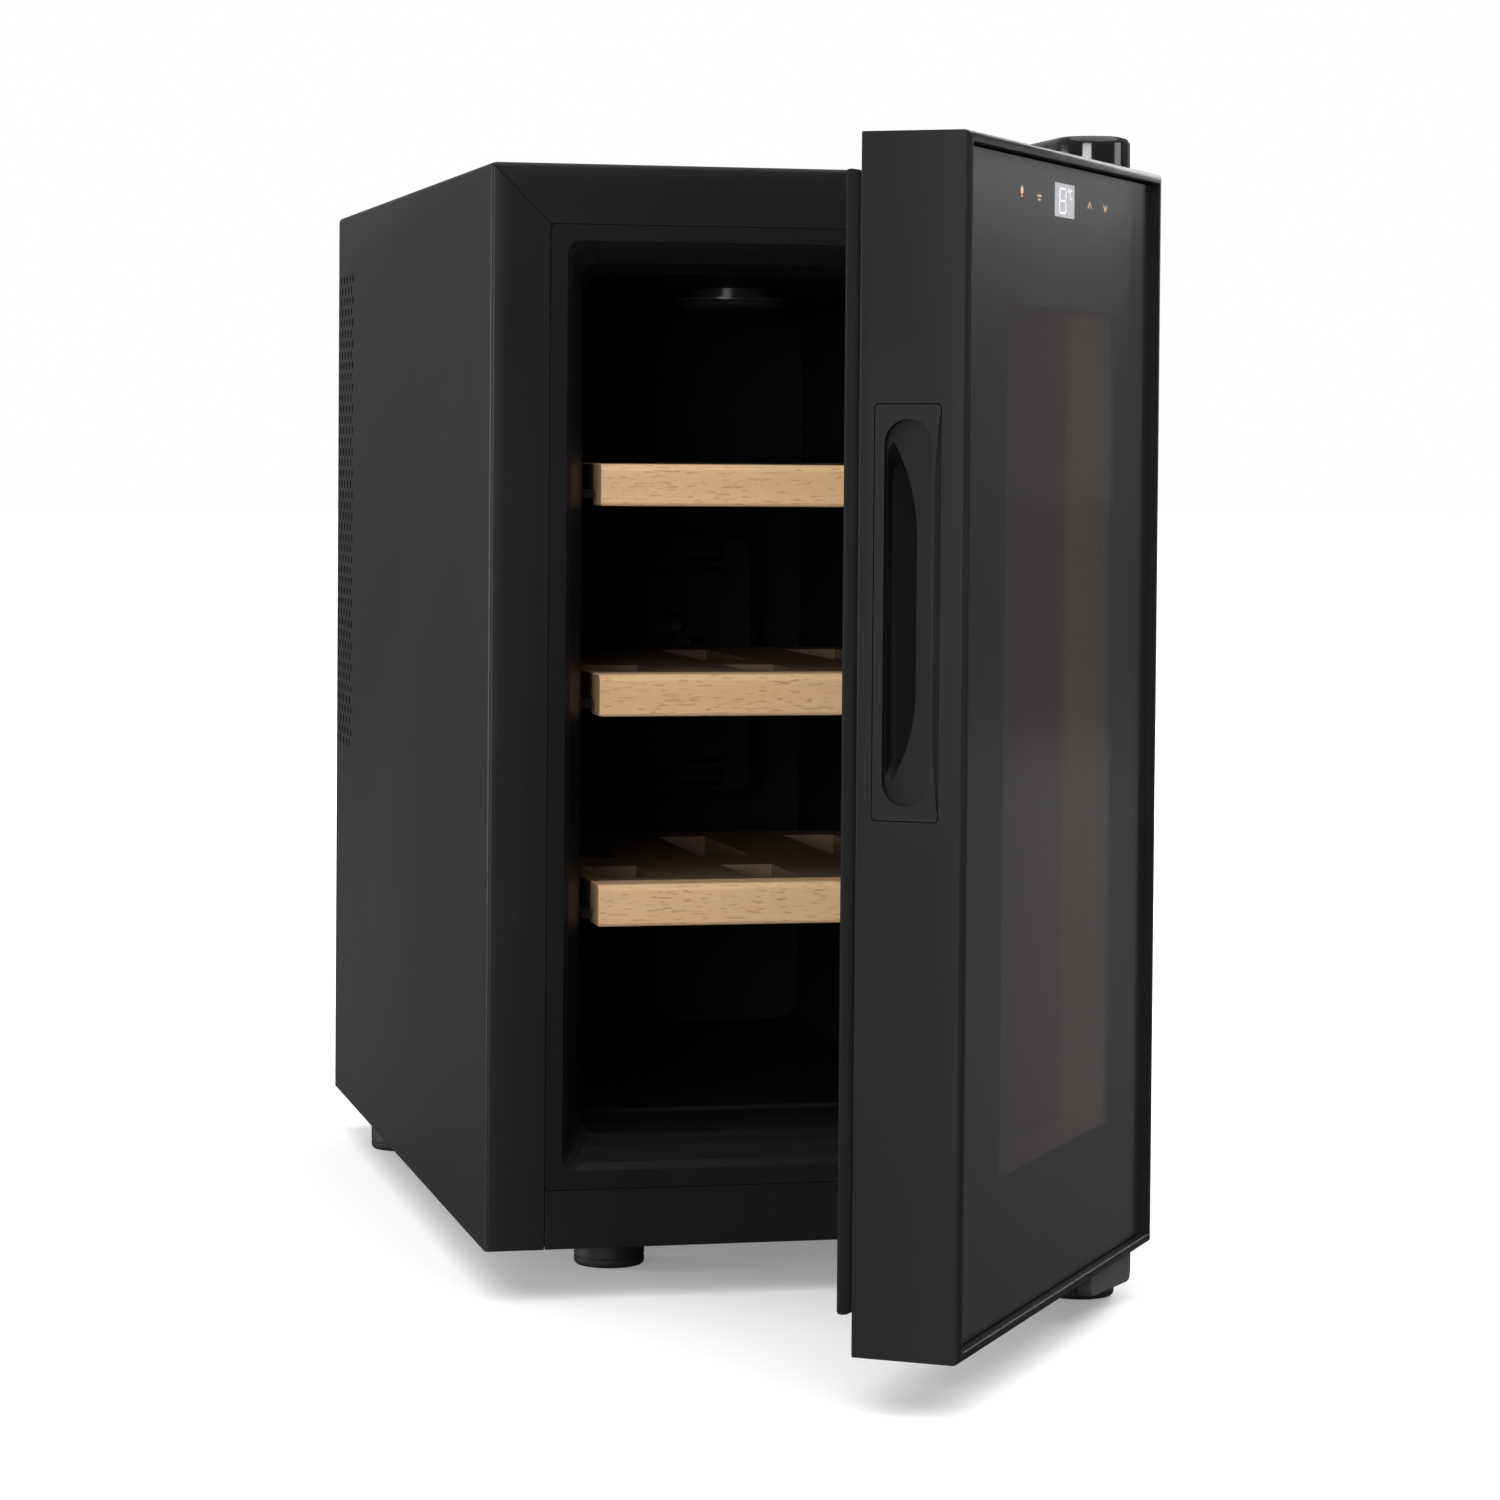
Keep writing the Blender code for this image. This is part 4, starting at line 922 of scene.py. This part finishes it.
LENS, SENSOR, LENS_SHIFT = 102.65, 36.0, -0.1158
CAMERA_PLACE = (-0.40563, -1.64910, 0.31695)  # in metres, y from the cabinet's front
YAW, PITCH, ROLL = 13.117, -1.743, 0.4546  # in degrees, from straight ahead
SUN, SUN_ANGLE, SUN_TILT = 3.2, 95.0, 13.0  # strength, and degrees
SOFTBOXES = (  # place, target and size in metres, then radiance
    ("front_softbox", (-1.5, -2.7, 0.55), (0.0, -0.2, 0.2), (1.3, 0.9), 14.0),
    ("left_softbox", (-3.0, 0.7, 0.42), (-0.1, 0.0, 0.2), (1.6, 0.8), 15.0),
    ("right_softbox", (2.6, 1.6, 1.02), (0.1, -0.2, 0.3), (1.4, 0.9), 0.36),
    ("right_fill", (2.8, -1.6, 0.8), (0.1, -0.1, 0.2), (1.2, 1.0), 4.0),
    ("rear_fill", (1.8, 2.6, 1.0), (0.0, 0.2, 0.2), (1.2, 1.0), 12.0),
)
# How bright the room is by direction: each row maps one axis from a range to a strength.
ROOM_LIGHT = (("X", (-0.4, 0.7, 0.20, 0.19)), ("Z", (0.03, 0.30, 0.0, 0.20)))


def make_camera():
    data = bpy.data.cameras.new("camera")
    data.sensor_width = SENSOR
    data.lens = LENS
    data.shift_y = LENS_SHIFT
    data.clip_start = 0.05
    data.clip_end = 60.0
    camera = bpy.data.objects.new("camera", data)
    bpy.context.scene.collection.objects.link(camera)
    yaw, pitch, roll = math.radians(YAW), math.radians(PITCH), math.radians(ROLL)
    level = math.cos(pitch)
    ahead = Vector((math.sin(yaw) * level, math.cos(yaw) * level, math.sin(pitch)))
    right = Vector((math.cos(yaw), -math.sin(yaw), 0.0))
    up = right.cross(ahead)
    turned_right = math.cos(roll) * right + math.sin(roll) * up
    turned_up = -math.sin(roll) * right + math.cos(roll) * up
    matrix = Matrix((turned_right, turned_up, -ahead)).transposed().to_4x4()
    x, y, z = CAMERA_PLACE
    matrix.translation = Vector((x, y - FRONT_TO_MIDDLE * MM, z))
    camera.matrix_world = matrix
    bpy.context.scene.camera = camera


def area_light(name, place, target, size, radiance):
    data = bpy.data.lights.new(name, "AREA")
    data.shape = "RECTANGLE"
    data.size, data.size_y = size
    data.energy = radiance * math.pi * size[0] * size[1]
    light = bpy.data.objects.new(name, data)
    bpy.context.scene.collection.objects.link(light)
    light.location = place
    light.rotation_euler = (Vector(target) - Vector(place)).to_track_quat("-Z", "Y").to_euler()


def make_lights():
    """A broad overhead light, softboxes all round, and a room that is a little brighter above. The
    room is white where the camera sees it."""
    sun = bpy.data.lights.new("overhead", "SUN")
    sun.energy = SUN
    sun.angle = math.radians(SUN_ANGLE)
    overhead = bpy.data.objects.new("overhead", sun)
    bpy.context.scene.collection.objects.link(overhead)
    overhead.location = (0.0, -0.7, 3.0)
    overhead.rotation_euler = (math.radians(SUN_TILT), 0.0, 0.0)
    for box in SOFTBOXES:
        area_light(*box)

    background = bpy.data.worlds.new("world")
    bpy.context.scene.world = background
    background.use_nodes = True
    tree = background.node_tree
    dim = tree.nodes["Background"]
    dim.inputs["Color"].default_value = (1.0, 1.0, 1.0, 1.0)
    direction = tree.nodes.new("ShaderNodeTexCoord")
    split = tree.nodes.new("ShaderNodeSeparateXYZ")
    tree.links.new(direction.outputs["Generated"], split.inputs["Vector"])
    total = tree.nodes.new("ShaderNodeMath")
    for term, (axis, limits) in zip(total.inputs, ROOM_LIGHT):
        part = tree.nodes.new("ShaderNodeMapRange")
        tree.links.new(split.outputs[axis], part.inputs["Value"])
        for key, value in zip(("From Min", "From Max", "To Min", "To Max"), limits):
            part.inputs[key].default_value = value
        tree.links.new(part.outputs["Result"], term)
    tree.links.new(total.outputs[0], dim.inputs["Strength"])
    white = tree.nodes.new("ShaderNodeBackground")
    white.inputs["Color"].default_value = (1.0, 1.0, 1.0, 1.0)
    path = tree.nodes.new("ShaderNodeLightPath")
    mix = tree.nodes.new("ShaderNodeMixShader")
    tree.links.new(path.outputs["Is Camera Ray"], mix.inputs[0])
    tree.links.new(dim.outputs[0], mix.inputs[1])
    tree.links.new(white.outputs[0], mix.inputs[2])
    tree.links.new(mix.outputs[0], tree.nodes["World Output"].inputs["Surface"])


def light_table():
    """A matt white floor with a little light of its own, which softens the shadows on it. It lights the
    object less than it shows, as a small table would."""
    made = Nodes("light_table")
    cloud = made.noise(3.0, 2.0)
    seen = made.add("ShaderNodeLightPath").outputs["Is Camera Ray"]
    white = made.blend(made.ramp(cloud, 0.3, 0.7), (0.79, 0.79, 0.79), (0.80, 0.80, 0.80))
    made.feed("Base Color", made.blend(seen, (0.095, 0.095, 0.095), white))
    made.feed("Emission Color", made.blend(seen, (0.0, 0.0, 0.0), (0.22, 0.22, 0.22)))
    made.set(Roughness=0.8, Specular_IOR_Level=0.1, Emission_Strength=1.0)
    return made.material


FLOOR_REACH = 20.0  # metres from its middle to an edge


def make_floor():
    low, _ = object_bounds()
    bm = bmesh.new()
    bmesh.ops.create_grid(bm, x_segments=4, y_segments=4, size=FLOOR_REACH)
    mesh = bpy.data.meshes.new("floor")
    bm.to_mesh(mesh)
    bm.free()
    floor = bpy.data.objects.new("floor", mesh)
    floor.location = (0.0, 0.0, low.z - 0.0002)
    bpy.context.scene.collection.objects.link(floor)
    mesh.materials.append(light_table())


dress_cad_nodes()
for name in ("hinge_skirt", "base_panel", "top_hinge_plate", "lower_hinge_plate", "rear_panel"):
    soften(name, 0.4)
for number in (1, 2, 3):
    soften(f"shelf_{number}_front_bar", 0.7, 3)
    soften(f"shelf_{number}_frame", 0.5)
make_wrap()
make_rim_seal()
make_feet()
make_screws()
make_hinge_cover()
make_lamp()
make_door_frame()
make_front_glass()
make_spacer()
make_display()
make_gasket()
make_handle()
make_camera()
make_lights()
make_floor()
bpy.context.scene.view_settings.view_transform = "Standard"
